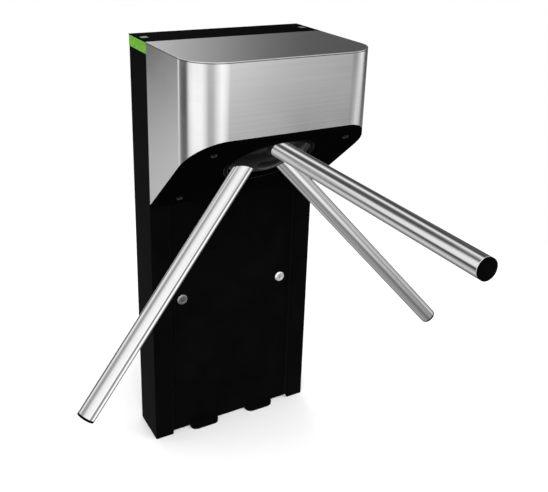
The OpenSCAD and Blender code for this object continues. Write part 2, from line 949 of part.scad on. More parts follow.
// Hub: a blunt cone with a flat nose, and three sockets that the arms enter at a slant
module hub() {
    bore = shaft_d / 2 + run_gap;
    color("#0b0c0e")
        difference() {
            on_face()
                rotate_extrude()
                    polygon([
                        [bore, hub_rear], [hub_r - hub_bevel, hub_rear], [hub_r, hub_rear + hub_bevel],
                        [hub_r, hub_shoulder - hub_bevel / 2], [hub_r - hub_bevel, cone_z(hub_r - hub_bevel)],
                        [hub_nose_r, hub_nose], [nut_recess_r, hub_nose],
                        [nut_recess_r, hub_nose - nut_recess_h], [bore, hub_nose - nut_recess_h]
                    ]);
            for (k = [0 : 2])
                on_arm(k) {
                    pin(arm_d / 2 + arm_fit, socket_floor, socket_mouth + arm_d);
                    pin(arm_screw_d / 2 + slide_gap, arm_screw_seat - overrun, socket_floor + overrun);
                    pin(arm_screw_head_d / 2 + slide_gap, arm_screw_seat - arm_screw_way, arm_screw_seat);
                }
        }
}

// Hexagon nut on the shaft's front end
module hub_nut() {
    low = hub_nose - nut_recess_h;
    color("#a7aaad")
        on_face()
            difference() {
                translate([0, 0, low])
                    cylinder(d = hub_nut_across, h = nut_h, $fn = 6);
                pin(shaft_d / 2 + run_gap, low - overrun, low + nut_h + overrun);
            }
}

// Domed cap over the nut
module hub_cap() {
    dome_r = (hub_cap_r * hub_cap_r + hub_cap_h * hub_cap_h) / (2 * hub_cap_h);
    rim = asin(hub_cap_r / dome_r);
    steps = 12;
    color("#0c0d0f")
        on_face()
            rotate_extrude()
                polygon(concat(
                    [[0, hub_nose]],
                    arc([0, hub_nose + hub_cap_h - dome_r], dome_r, 90 - rim, 90, steps)
                ));
}

// One arm: a round tube with a solid root that its screw draws into the socket
module arm(k) {
    color("#c8cbce")
        on_arm(k)
            difference() {
                pin(arm_d / 2, socket_floor, arm_end);
                pin(arm_d / 2 - arm_wall, socket_floor + arm_plug, arm_end + overrun);
                pin(arm_screw_d / 2 + run_gap, socket_floor - overrun, socket_floor + arm_plug + overrun);
            }
}

// Black cap that closes an arm: a plug in the tube and a rounded face
module arm_cap(k) {
    r = arm_d / 2;
    plug_r = r - arm_wall - run_gap;
    plug_h = 4 * arm_cap_t;
    edge = arm_cap_t / 2;
    color("#0d0e10")
        on_arm(k)
            rotate_extrude()
                polygon(concat(
                    [[0, arm_end - plug_h], [plug_r, arm_end - plug_h], [plug_r, arm_end], [r, arm_end]],
                    arc([r - edge, arm_end + arm_cap_t - edge], edge, 0, 90, 6),
                    [[0, arm_end + arm_cap_t]]
                ));
}

// Screws along the arms, their heads in the hub
module arm_screws() {
    color("#8b8e92")
        for (k = [0 : 2])
            on_arm(k)
                difference() {
                    union() {
                        pin(arm_screw_d / 2, arm_screw_seat, arm_screw_seat + arm_screw_len);
                        pin(arm_screw_head_d / 2, arm_screw_seat - arm_screw_head_h, arm_screw_seat);
                    }
                    translate([0, 0, arm_screw_seat - arm_screw_head_h - overrun])
                        cylinder(d = arm_screw_key_d, h = arm_screw_head_h / 2 + overrun, $fn = 6);
                }
}

// Index disc: one notch for every twelfth of a turn, with the boss that meets the rear bearing
module index_disc() {
    color("#96999d")
        on_face()
            difference() {
                union() {
                    pin(disc_r, disc_rear, disc_front);
                    pin(collar_r, disc_front, plate_front);
                }
                pin(shaft_d / 2 + run_gap, disc_rear - overrun, plate_front + overrun);
                for (i = [0 : notches - 1])
                    rotate([0, 0, i * 360 / notches])
                        translate([disc_r - notch_depth, -notch_w / 2, disc_rear - overrun])
                            cube([notch_depth + overrun, notch_w, disc_t + 2 * overrun]);
            }
}

// Outline of a spur gear with straight-flanked teeth, one of them on the +X axis
function gear_points(teeth, m) =
    let (
        pitch_r = m * teeth / 2,
        tip_r = pitch_r + tooth_rise_share * m,
        root_r = pitch_r - tooth_root_share * m,
        half = PI * m / 4 - tooth_backlash / 2,
        tip_half = half - tooth_rise_share * m * tan(tooth_flank),
        root_half = half + tooth_root_share * m * tan(tooth_flank),
        tip_a = asin(tip_half / tip_r),
        root_a = asin(root_half / root_r)
    )
    [for (i = [0 : teeth - 1], p = [[root_r, -root_a], [tip_r, -tip_a], [tip_r, tip_a], [root_r, root_a]])
        p[0] * [cos(i * 360 / teeth + p[1]), sin(i * 360 / teeth + p[1])]];

// Gear on the main shaft that drives the damper, with bosses to its neighbours
module damper_gear() {
    color("#a08a52")
        on_face()
            difference() {
                union() {
                    translate([0, 0, gear_rear])
                        linear_extrude(gear_w)
                            polygon(gear_points(gear_teeth, gear_module));
                    pin(collar_r, encoder_front, disc_rear);
                }
                pin(shaft_d / 2 + run_gap, encoder_front - overrun, disc_rear + overrun);
            }
}

// Slotted disc that the position sensor reads
module encoder_disc() {
    slot_w = encoder_r / 10;
    slot_root_share = 0.84;
    slot_r = encoder_r * slot_root_share;
    color("#3a3d40")
        on_face()
            difference() {
                ring(encoder_r, shaft_d / 2 + run_gap, encoder_rear, encoder_front);
                for (i = [0 : 2 * notches - 1])
                    rotate([0, 0, (i + 1 / 2) * 180 / notches])
                        translate([slot_r, -slot_w / 4, encoder_rear - overrun])
                            cube([encoder_r - slot_r - slot_w / 2, slot_w / 2, encoder_t + 2 * overrun]);
            }
}

// Nut that clamps the stack on the shaft's rear end
module shaft_nut() {
    color("#a7aaad")
        on_face()
            difference() {
                translate([0, 0, encoder_rear - nut_h])
                    cylinder(d = shaft_nut_across, h = nut_h, $fn = 6);
                pin(shaft_d / 2 + run_gap, encoder_rear - nut_h - overrun, encoder_rear + overrun);
            }
}

// Places children on the damper's axis
module on_damper() {
    on_face()
        translate([0, -damper_x, 0])
            children();
}

// Rotary damper on the front of the mechanism plate
module damper_body() {
    front = plate_front + damper_len;
    bevel = damper_shaft_d / 4;
    color("#2b2d30")
        on_damper()
            rotate_extrude()
                polygon([
                    [damper_shaft_d / 2 + run_gap, plate_front], [damper_r, plate_front],
                    [damper_r, front - bevel], [damper_r - bevel, front], [0, front],
                    [0, front - 2 * bevel], [damper_shaft_d / 2 + run_gap, front - 2 * bevel]
                ]);
}

// The damper's shaft and its pinion, in mesh with the gear on the main shaft
module damper_pinion() {
    front = plate_front + damper_len - damper_shaft_d / 2 - slide_gap;
    color("#b09a5c")
        on_damper()
            union() {
                pin(damper_shaft_d / 2, gear_rear, front);
                translate([0, 0, gear_rear])
                    rotate([0, 0, 90 + 180 / pinion_teeth])
                        linear_extrude(gear_w)
                            polygon(gear_points(pinion_teeth, gear_module));
            }
}

// Pawl: a bent lever whose nose drops into a notch of the index disc
module pawl(side) {
    head_r = nose_w;
    slot = plunger_pin_d + 2 * slide_gap;
    slot_len = 3 * plunger_pin_d / 2;
    tip_y = disc_r + nose_gap;
    color("#8d9094")
        on_face()
            on_pawl(side)
                translate([0, 0, pawl_rear])
                    linear_extrude(pawl_t)
                        difference() {
                            union() {
                                translate([pawl_reach, pawl_pivot_y])
                                    circle(r = pawl_pin_d);
                                translate([0, pawl_head_y])
                                    circle(r = head_r);
                                polygon([
                                    [-nose_w / 2, pawl_head_y], [-nose_tip_w / 2, tip_y],
                                    [nose_tip_w / 2, tip_y], [nose_w / 2, pawl_head_y]
                                ]);
                                polygon([
                                    [0, pawl_head_y + head_r], [0, pawl_head_y - head_r / 2],
                                    [pawl_reach, pawl_pivot_y - head_r], [pawl_reach, pawl_pivot_y + pawl_pin_d]
                                ]);
                                translate([pawl_reach, pawl_pivot_y - pawl_w / 2])
                                    square([pawl_tail, pawl_w]);
                                translate([pawl_reach + pawl_tail, pawl_pivot_y])
                                    circle(d = pawl_w);
                            }
                            translate([pawl_reach, pawl_pivot_y])
                                circle(d = pawl_pin_d + 2 * run_gap);
                            translate([pawl_reach + pawl_tail - slot_len / 2, pawl_pivot_y - slot / 2])
                                square([slot_len, slot]);
                        }
}

// Pins that the pawls turn on, each with a shoulder and a head
module pawl_pins() {
    color("#b3b6ba")
        for (side = [-1, 1])
            on_face()
                on_pawl(side)
                    translate([pawl_reach, pawl_pivot_y, 0]) {
                        pin(pawl_pin_d / 2, pawl_rear - slide_gap - pin_head_h, plate_front);
                        pin(pin_head_d / 2, pawl_front + slide_gap, plate_rear);
                        pin(pin_head_d / 2, pawl_rear - slide_gap - pin_head_h, pawl_rear - slide_gap);
                    }
}

// Places children on a solenoid's axis: +Z along the pull, zero at the pawl's tail
module on_solenoid(side) {
    on_face()
        on_pawl(side)
            translate([pawl_reach + pawl_tail, pawl_pivot_y, solenoid_z])
                rotate([-90, 0, 0])
                    children();
}

// Solenoid: a square yoke with a bore for its plunger and the coil inside it
module solenoid(side) {
    color("#34373b")
        on_solenoid(side)
            difference() {
                translate([-solenoid_w / 2, -solenoid_h / 2, solenoid_off])
                    cube([solenoid_w, solenoid_h, solenoid_len]);
                pin(plunger_d / 2 + run_gap, solenoid_off - overrun, solenoid_off + solenoid_bore_len);
            }
}

// Plunger with the tongue and pin that pull the pawl's tail
module plunger(side) {
    tongue_front = pawl_rear - slide_gap;
    tongue_half = plunger_d / 2;
    color("#a2a5a9")
        union() {
            on_solenoid(side)
                pin(plunger_d / 2, plunger_off, plunger_off + plunger_len);
            on_face()
                on_pawl(side)
                    translate([pawl_reach + pawl_tail, pawl_pivot_y, 0]) {
                        translate([-tongue_half, -tongue_half, tongue_front - tongue_t])
                            cube([2 * tongue_half, tongue_half + plunger_off + tongue_t, tongue_t]);
                        pin(plunger_pin_d / 2, tongue_front - tongue_t, pawl_front);
                    }
        }
}

// Forked sensor that straddles the encoder disc, on its own post
module encoder_sensor() {
    post_y = disc_r + sensor_post;
    low = encoder_rear - sensor_slot / 2 + encoder_t / 2 - sensor_jaw;
    high = low + 2 * sensor_jaw + sensor_slot;
    color("#1c1e21")
        on_face()
            difference() {
                union() {
                    translate([-sensor_w / 2, post_y, low])
                        cube([sensor_w, sensor_post, plate_rear - low]);
                    translate([-sensor_w / 2, encoder_r - sensor_bite, low])
                        cube([sensor_w, post_y - encoder_r + sensor_bite + overrun, high - low]);
                }
                translate([-sensor_w / 2 - overrun, encoder_r - sensor_bite - overrun, low + sensor_jaw])
                    cube([sensor_w + 2 * overrun, sensor_bite + sensor_post + overrun, sensor_slot]);
            }
}

// Control board on the column's back, with its terminal rows and main parts
module control_board() {
    face = back_y - sheet_t - standoff_h - board_t;
    row_h = 12;
    color("#1e5a36")
        difference() {
            union() {
                translate([-board_w / 2, face, board_z])
                    cube([board_w, board_t, board_h]);
                for (side = [-1, 1])
                    translate([side * board_w / 4 - board_w / 6, face - row_h, board_z + row_h])
                        cube([board_w / 3, row_h + overrun, row_h]);
                translate([-row_h, face - row_h / 2, board_z + board_h / 2])
                    cube([2 * row_h, row_h / 2 + overrun, 2 * row_h]);
            }
            at_standoffs()
                pin(standoff_d / 4, -overrun, standoff_h + 2 * board_t);
        }
}

// The four corners where the control board is held, +Z to the front
module at_standoffs() {
    for (x = [-1, 1], z = [0, 1])
        translate([
            x * (board_w / 2 - standoff_d), back_y - sheet_t,
            board_z + standoff_d + z * (board_h - 2 * standoff_d)
        ])
            rotate([90, 0, 0])
                children();
}

// Standoffs between the column's back and the control board
module board_standoffs() {
    color("#b8a25e")
        at_standoffs()
            pin(standoff_d / 2, 0, standoff_h);
}

// Closed power supply on the column's back
module power_supply() {
    color("#8f9296")
        translate([-supply_w / 2, back_y - sheet_t - supply_d, supply_z])
            cube([supply_w, supply_d, supply_h]);
}

base_plate();
column_shell();
column_cap();
light_lens(-1);  // light_lens_left
light_lens(1);  // light_lens_right
led_board(-1);  // led_board_left
led_board(1);  // led_board_right
front_panel();
lock_body(-1);  // lock_body_left
lock_body(1);  // lock_body_right
lock_nuts();
lock_core(-1);  // lock_core_left
lock_core(1);  // lock_core_right
lock_cam(-1);  // lock_cam_left
lock_cam(1);  // lock_cam_right
cover_shell();
cover_top();
underside_panel();
hub_ring();
underside_screws();
panel_spacers();
cheek(-1);  // cheek_left
cheek(1);  // cheek_right
frame_bolts();
mechanism_plate();
bearing_housing();
bearing_outer(front_bearing_z);  // bearing_front
bearing_outer(rear_bearing_z);  // bearing_rear
bearing_cover();
damper_body();
damper_pinion();
solenoid(-1);  // solenoid_left
solenoid(1);  // solenoid_right
pawl_pins();
pawl(-1);  // pawl_left
pawl(1);  // pawl_right
plunger(-1);  // plunger_left
plunger(1);  // plunger_right
encoder_sensor();
control_board();
board_standoffs();
power_supply();
main_shaft();
hub();
hub_nut();
hub_cap();
arm(0);  // arm_front
arm(1);  // arm_left
arm(2);  // arm_right
arm_cap(0);  // arm_cap_front
arm_cap(1);  // arm_cap_left
arm_cap(2);  // arm_cap_right
arm_screws();
bearing_inner_rings();
bearing_spacer();
index_disc();
damper_gear();
encoder_disc();
shaft_nut();
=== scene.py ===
import json
from math import atan2, cos, pi, radians, sin

import bmesh
import bpy
from bpy.props import FloatProperty, FloatVectorProperty, IntProperty, PointerProperty
from mathutils import Matrix, Vector


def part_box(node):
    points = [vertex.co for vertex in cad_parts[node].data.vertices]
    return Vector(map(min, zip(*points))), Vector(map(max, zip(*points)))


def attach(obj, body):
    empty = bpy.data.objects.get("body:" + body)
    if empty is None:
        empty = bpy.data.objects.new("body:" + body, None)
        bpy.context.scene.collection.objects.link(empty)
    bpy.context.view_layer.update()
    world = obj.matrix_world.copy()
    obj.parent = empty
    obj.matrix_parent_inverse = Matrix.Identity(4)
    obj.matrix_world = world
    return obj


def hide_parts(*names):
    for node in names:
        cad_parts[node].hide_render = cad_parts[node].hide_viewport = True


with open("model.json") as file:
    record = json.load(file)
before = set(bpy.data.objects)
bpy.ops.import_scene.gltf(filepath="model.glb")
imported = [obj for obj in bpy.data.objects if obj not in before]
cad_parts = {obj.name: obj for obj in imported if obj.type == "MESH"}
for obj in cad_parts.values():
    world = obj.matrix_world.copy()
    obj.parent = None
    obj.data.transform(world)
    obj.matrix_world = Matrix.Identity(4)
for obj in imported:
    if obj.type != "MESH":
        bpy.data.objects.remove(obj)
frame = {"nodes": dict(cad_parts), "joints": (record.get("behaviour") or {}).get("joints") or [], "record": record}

bl_info = {
    "name": "Tripod turnstile",
    "version": (1, 0, 0),
    "blender": (4, 5, 0),
    "location": "3D View > Sidebar > Turnstile",
    "description": "Dresses the packed tripod turnstile with detailed pieces and finishes",
    "category": "Object",
}

# Places that the frame gives: the hub's axis, the slope and the arms' meeting point
HUB_JOINT = next(j for j in frame["joints"] if j["name"] == "hub_turn")
AXIS = Vector(HUB_JOINT["axis"]).normalized()
if AXIS.z > 0:
    AXIS.negate()
APEX = Vector(HUB_JOINT["pos_m"])
FACE_DEPTH = max((v.co - APEX).dot(AXIS) for v in frame["nodes"]["underside_panel"].data.vertices)
FACE = APEX + AXIS * FACE_DEPTH
TILT = atan2(-AXIS.z, -AXIS.y)
COLUMN_LOW, COLUMN_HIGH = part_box("column_shell")
COVER_LOW, COVER_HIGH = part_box("cover_shell")
TOP_LOW, TOP_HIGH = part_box("cover_top")
ARM_LOW, ARM_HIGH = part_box("arm_front")
CAP_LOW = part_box("arm_cap_front")[0]
AXIS_TURN = Matrix.Rotation(pi / 2 + TILT, 4, "X")

# Roundings of the small pieces' edges, in metres
PLATE_EDGE = 0.0008
PANEL_FOLD = 0.0018
COLUMN_CAP_EDGE = 0.0009
LENS_EDGE = 0.0007
LOCK_FACE_EDGE = 0.0005
LOCK_BARREL_EDGE = 0.0003
COVER_CUT_EDGE = 0.0003
TOP_LOWER_EDGE = 0.0004
COLLAR_EDGE = 0.0005
SCREW_EDGE = 0.0004
NOSE_CAP_EDGE = 0.0006
# Painted shadow in the cover's seam: its depth below the top plate and its soft edge in metres, and its colour
SEAM_DEPTH = 0.001
SEAM_FADE = 0.0004
SEAM_SHADOW_COLOUR = (0.03, 0.03, 0.03, 1)
# The green lens's frosted window: depths below its top at which the frost starts and is full
FROST_STARTS = 0.0012
FROST_FULL = 0.0006
# Painted shade in the key slot: depths behind the lock core's face at which it starts to be dark and is dark, and its
# colour
SLOT_STARTS = 0.0002
SLOT_DARK = 0.0008
SLOT_SHADE_COLOUR = (0.01, 0.01, 0.01, 1)
# The two locks stand further than this from the middle, so each gets its own painted reflection tone, darker on the
# left and brighter on the right
LOCK_APART = 0.05
# Length of cover sheet below the slope, cut away later
CUT_OVERRUN = 0.02
# An arm's cap: plug inside the tube, gap between tube and rim, neck below the tube's outside and crowned end
CAP_PLUG = 0.02
CAP_GAP = 0.0006
CAP_NECK = 0.0009
CAP_CROWN = 0.0004
# Share of the end's radius that is flat, share of the cap's edge setting that is rounded, and the rim's depth
CAP_FLAT = 0.78
CAP_EDGE_SHARE = 0.4
CAP_RIM = 0.001
# Slack for finding the edges that lie on a face, and on the sloping face, in metres
NEAR = 0.0001
SLOPE_NEAR = 0.0005
# Faces that meet at less than this angle are shaded as one, in degrees
SMOOTH_ANGLE = 35


def on_arm(number):
    """Matrix of an arm's frame: +Z along the tube, zero where the three tubes' centre lines meet."""
    return (Matrix.Translation(APEX) @ AXIS_TURN @ Matrix.Rotation(number * 2 * pi / 3, 4, "Z")
            @ Matrix.Rotation(-TILT, 4, "X"))


# Settings ------------------------------------------------

class ColumnSettings(bpy.types.PropertyGroup):
    """Sizes of the black column and its small parts"""
    sheet: FloatProperty(name="Sheet", description="Thickness of the column's folded sheet",
                         default=0.002, min=0.001, max=0.003, unit="LENGTH")
    fold: FloatProperty(name="Fold", description="Outer radius of the column's folds",
                        default=0.003, min=0.0022, max=0.006, unit="LENGTH")
    opening: FloatProperty(name="Opening", description="Half the width of the opening between the front flanges",
                           default=0.165, min=0.12, max=0.19, unit="LENGTH")
    lip: FloatProperty(name="Lip", description="Depth of the lip folded back along each flange",
                       default=0.016, min=0.008, max=0.03, unit="LENGTH")
    edge: FloatProperty(name="Edge", description="Rounding of cut sheet edges",
                        default=0.0004, min=0.0001, max=0.001, unit="LENGTH")


class CoverSettings(bpy.types.PropertyGroup):
    """Sizes of the stainless cover and the panel under it"""
    corner: FloatProperty(name="Corner", description="Outer radius of the cover's upright front corners",
                          default=0.075, min=0.05, max=0.1, unit="LENGTH")
    sheet: FloatProperty(name="Sheet", description="Thickness of the stainless sheet",
                         default=0.0015, min=0.001, max=0.003, unit="LENGTH")
    steps: IntProperty(name="Corner steps", description="Flats round each upright corner",
                       default=40, min=12, max=64)
    band: FloatProperty(name="Band", description="Edge of the underside panel that shows below the steel",
                        default=0.006, min=0.003, max=0.01, unit="LENGTH")
    top_edge: FloatProperty(name="Top edge", description="Rounding of the top plate's upper edge",
                            default=0.0008, min=0.0002, max=0.0012, unit="LENGTH")
    panel_edge: FloatProperty(name="Panel edge", description="Rounding of the underside panel's outer edge",
                              default=0.0022, min=0.0005, max=0.004, unit="LENGTH")


class TripodSettings(bpy.types.PropertyGroup):
    """Sizes of the hub, the arms and their caps"""
    steps: IntProperty(name="Tube steps", description="Flats round each arm", default=72, min=24, max=128)
    wall: FloatProperty(name="Wall", description="Wall of the arm tubes",
                        default=0.002, min=0.001, max=0.004, unit="LENGTH")
    floor: FloatProperty(name="Socket floor",
                         description="Distance from the arms' meeting point to the root of a tube",
                         default=0.054, min=0.04, max=0.08, unit="LENGTH")
    tube_edge: FloatProperty(name="Tube edge", description="Chamfer at the open end of a tube",
                             default=0.0005, min=0.0001, max=0.001, unit="LENGTH")
    cap_edge: FloatProperty(name="Cap edge", description="Rounding of an arm cap's rim",
                            default=0.0022, min=0.0005, max=0.004, unit="LENGTH")
    hub_edge: FloatProperty(name="Hub edge", description="Rounding of the hub's edges and roots",
                            default=0.0016, min=0.0004, max=0.003, unit="LENGTH")


class FinishSettings(bpy.types.PropertyGroup):
    """Colours of the finishes"""
    paint: FloatVectorProperty(name="Paint", description="Black powder paint of the column and its panels",
                               subtype="COLOR", size=3, default=(0.0018, 0.0018, 0.0019), min=0, max=1)
    steel: FloatVectorProperty(name="Steel", description="Brushed stainless steel of the cover",
                               subtype="COLOR", size=3, default=(0.59, 0.59, 0.595), min=0, max=1)
    tube: FloatVectorProperty(name="Tube", description="Ground stainless steel of the arms",
                              subtype="COLOR", size=3, default=(0.57, 0.57, 0.57), min=0, max=1)
    hub: FloatVectorProperty(name="Hub", description="Gloss black of the hub and its collar",
                             subtype="COLOR", size=3, default=(0.0012, 0.0012, 0.0014), min=0, max=1)
    lens: FloatVectorProperty(name="Lens", description="Green of the status lights",
                              subtype="COLOR", size=3, default=(0.105, 0.36, 0.005), min=0, max=1)


class StageSettings(bpy.types.PropertyGroup):
    """Floor, light and camera"""
    floor: FloatVectorProperty(name="Floor", description="Colour of the studio floor",
                               subtype="COLOR", size=3, default=(0.9, 0.9, 0.9), min=0, max=1)
    floor_reach: FloatProperty(name="Floor reach",
                               description="Radius at which the floor has faded into the backdrop",
                               default=1.7, min=1, max=6, unit="LENGTH")
    backdrop: FloatVectorProperty(name="Backdrop", description="Colour of the paper behind the turnstile",
                                  subtype="COLOR", size=3, default=(1.0, 1.0, 1.0), min=0, max=1)
    key: FloatProperty(name="Key light", description="Power of the large soft light above the front",
                       default=46, min=0, max=400, unit="POWER")
    lens: FloatProperty(name="Focal length", description="Focal length of the camera",
                        default=49.91, min=20, max=120)
    camera_at: FloatVectorProperty(name="Camera", description="Place of the camera", subtype="TRANSLATION",
                                   size=3, default=(-0.75555, -1.53368, 1.29325))
    camera_turn: FloatVectorProperty(name="Camera turn",
                                     description="Yaw to the right, pitch down and roll of the camera", size=3,
                                     default=(0.52508, 0.35419, -0.03312), unit="ROTATION")
    camera_shift: FloatVectorProperty(name="Camera shift",
                                      description="Shift of the camera's frame, as a share of its width", size=2,
                                      default=(0.0, -0.13))


# Node work -----------------------------------------------

def put(tree, kind, inputs=None, **settings):
    """Adds a shader node; an input's value is a number, a colour or another node's output."""
    node = tree.nodes.new("ShaderNode" + kind)
    for key, value in settings.items():
        setattr(node, key, value)
    for key, value in (inputs or {}).items():
        if isinstance(value, bpy.types.NodeSocket):
            tree.links.new(value, node.inputs[key])
        else:
            node.inputs[key].default_value = value
    return node


def object_place(tree, stretch=(1, 1, 1), turn=(0, 0, 0)):
    """Object coordinates, stretched by axis."""
    place = put(tree, "TexCoord").outputs["Object"]
    return put(tree, "Mapping", {"Vector": place, "Rotation": turn, "Scale": stretch}).outputs[0]


def own_place(tree, stretch=(1, 1, 1)):
    """The piece's own coordinates from its attribute, stretched by axis."""
    place = put(tree, "Attribute", attribute_name="own_place").outputs["Vector"]
    return put(tree, "Mapping", {"Vector": place, "Scale": stretch}).outputs[0]


def noise(tree, place, scale, detail=2.0, share=0.5):
    """Noise of a given scale, from 0 to 1."""
    return put(tree, "TexNoise", {"Vector": place, "Scale": scale, "Detail": detail, "Roughness": share}).outputs[0]


def between(tree, value, low, high, start=0.0, end=1.0):
    """A value moved from start..end to low..high."""
    limits = {"Value": value, "From Min": start, "From Max": end, "To Min": low, "To Max": high}
    return put(tree, "MapRange", limits).outputs[0]


def math(tree, operation, first, second=0.0):
    """One sum on two values."""
    node = put(tree, "Math", operation=operation)
    for socket, value in zip(node.inputs, (first, second)):
        if isinstance(value, bpy.types.NodeSocket):
            tree.links.new(value, socket)
        else:
            socket.default_value = value
    return node.outputs[0]


def shades(tree, value, *stops):
    """Colour ramp; each stop is a place and a grey or a colour."""
    node = put(tree, "ValToRGB", {"Fac": value})
    marks = node.color_ramp.elements
    while len(marks) < len(stops):
        marks.new(1.0)
    for mark, (place, tone) in zip(marks, stops):
        mark.position = place
        mark.color = (tone, tone, tone, 1) if isinstance(tone, (int, float)) else (*tone, 1)
    return node.outputs[0]


def blend(tree, share, first, second):
    """Mix of two colours, each a colour or another node's output."""
    node = put(tree, "Mix", {"Factor": share}, data_type="RGBA")
    for socket, value in zip((node.inputs[6], node.inputs[7]), (first, second)):
        if isinstance(value, bpy.types.NodeSocket):
            tree.links.new(value, socket)
        else:
            socket.default_value = value
    return node.outputs[2]


def tinted(colour, share):
    """A colour made lighter or darker by a share."""
    return tuple(min(1, c * share) for c in colour)


def relief(tree, height, depth, strength=1.0, under=None):
    """Bump from a height of 0 to 1 that stands for a real depth in metres."""
    inputs = {"Height": height, "Distance": depth, "Strength": strength}
    if under is not None:
        inputs["Normal"] = under
    return put(tree, "Bump", inputs).outputs[0]


def new_finish(name, **constants):
    """A material with its constants set on the shader's own sockets; returns material, tree and shader."""
    material = bpy.data.materials.new(name)
    material.use_nodes = True
    tree = material.node_tree
    shader = tree.nodes["Principled BSDF"]
    for key, value in constants.items():
        shader.inputs[key.replace("_", " ")].default_value = value
    return material, tree, shader


def join(tree, shader, **inputs):
    """Links values to the shader's sockets."""
    for key, value in inputs.items():
        tree.links.new(value, shader.inputs[key.replace("_", " ")])


# Finishes ------------------------------------------------

def grain_tone(tree, colour, fine, coarse):
    """A steel's colour, varied by its fine and its coarse grain."""
    tone = math(tree, "ADD", math(tree, "MULTIPLY", fine, 0.6), math(tree, "MULTIPLY", coarse, 0.4))
    return shades(tree, tone, (0.25, tinted(colour, 0.93)), (0.75, tinted(colour, 1.06)))


def grain_tangent(tree):
    """The direction of the grain, from the piece's map."""
    return put(tree, "Tangent", direction_type="UV_MAP", uv_map="grain").outputs[0]


def powder_paint(name, colour, sheen=0.005):
    """Black powder paint: orange-peel skin, faint mottling and a few fine scuffs."""
    material, tree, shader = new_finish(name, Specular_IOR_Level=sheen)
    place = object_place(tree)
    mottle = noise(tree, place, 14, 3)
    peel = noise(tree, place, 430, 2)
    grit = noise(tree, place, 2600, 1)
    scuff = noise(tree, object_place(tree, (24, 24, 900)), 1, 4, 0.65)
    base = shades(tree, mottle, (0.3, tinted(colour, 0.8)), (0.7, tinted(colour, 1.25)))
    worn = math(tree, "ADD", between(tree, mottle, 0.38, 0.5), between(tree, scuff, 0.0, 0.05, 0.45, 0.75))
    skin = relief(tree, peel, 0.00008, 0.5)
    join(tree, shader, Base_Color=base, Roughness=worn, Normal=relief(tree, grit, 0.00001, 0.4, skin))
    return material


def brushed_steel(name, colour, lines, rough=(0.17, 0.24), seam=None):
    """Stainless sheet brushed in one direction: hairlines, longer streaks and soft smudges.
    lines stretches the grain by axis, and the piece's map runs along the brushing. seam is the height of a joint
    with the sheet above; just below it a painted shadow line darkens the steel."""
    material, tree, shader = new_finish(name, Metallic=1.0, Anisotropic=0.8, Anisotropic_Rotation=0.25)
    hair = noise(tree, object_place(tree, lines), 1, 3, 0.6)
    streak = noise(tree, object_place(tree, tuple(s / 6 for s in lines)), 1, 4, 0.6)
    smudge = noise(tree, object_place(tree), 7, 4, 0.6)
    base = grain_tone(tree, colour, hair, streak)
    if seam is not None:
        # Painted shadow: the steel turns dark just below the seam with the top plate
        height = put(tree, "SeparateXYZ", {0: object_place(tree)}).outputs["Z"]
        shadow = between(tree, height, 0.0, 1.0, seam - SEAM_DEPTH - SEAM_FADE, seam - SEAM_DEPTH)
        base = blend(tree, shadow, base, SEAM_SHADOW_COLOUR)
    polish = math(tree, "ADD", between(tree, smudge, rough[0], rough[1], 0.3, 0.7), between(tree, streak, -0.03, 0.03))
    join(tree, shader, Base_Color=base, Roughness=polish, Tangent=grain_tangent(tree),
         Normal=relief(tree, streak, 0.00001, 0.2))
    return material


def ground_tube(name, colour):
    """Stainless tube ground round its girth: fine rings, a few deeper ones and handled patches."""
    material, tree, shader = new_finish(name, Metallic=1.0, Anisotropic=0.8, Anisotropic_Rotation=0.25)
    ring = noise(tree, own_place(tree, (16, 16, 2600)), 1, 3, 0.6)
    band = noise(tree, own_place(tree, (10, 10, 320)), 1, 3, 0.6)
    patch = noise(tree, own_place(tree, (30, 30, 9)), 1, 3, 0.6)
    base = grain_tone(tree, colour, ring, band)
    polish = math(tree, "ADD", between(tree, patch, 0.11, 0.145, 0.3, 0.7), between(tree, band, -0.02, 0.02))
    join(tree, shader, Base_Color=base, Roughness=polish, Tangent=grain_tangent(tree),
         Normal=relief(tree, ring, 0.000008, 0.3))
    return material


def gloss_black(name, colour, shine=0.035):
    """Gloss black lacquer on a casting: soft waves in the lacquer, dust specks and swirl marks."""
    material, tree, shader = new_finish(name, Specular_IOR_Level=shine, Coat_Weight=shine / 4, Coat_Roughness=0.05)
    place = object_place(tree)
    wave = noise(tree, place, 55, 2)
    swirl = noise(tree, place, 900, 4, 0.7)
    dust = noise(tree, place, 1700, 2)
    base = shades(tree, dust, (0.68, colour), (0.8, tinted(colour, 6)))
    polish = math(tree, "ADD", between(tree, wave, 0.1, 0.2), between(tree, swirl, 0.0, 0.06, 0.4, 0.8))
    join(tree, shader, Base_Color=base, Roughness=polish,
         Normal=relief(tree, swirl, 0.00001, 0.3, relief(tree, wave, 0.0003, 0.25)))
    return material


def moulded_black(name, colour=(0.0016, 0.0016, 0.0018), grain=1500):
    """Moulded black plastic with a fine spark-eroded grain."""
    material, tree, shader = new_finish(name, Specular_IOR_Level=0.0004)
    place = object_place(tree)
    fine = noise(tree, place, grain, 3, 0.7)
    flow = noise(tree, place, 25, 2)
    base = shades(tree, flow, (0.3, tinted(colour, 0.8)), (0.7, tinted(colour, 1.3)))
    join(tree, shader, Base_Color=base, Roughness=between(tree, fine, 0.34, 0.55),
         Normal=relief(tree, fine, 0.00006, 0.5))
    return material


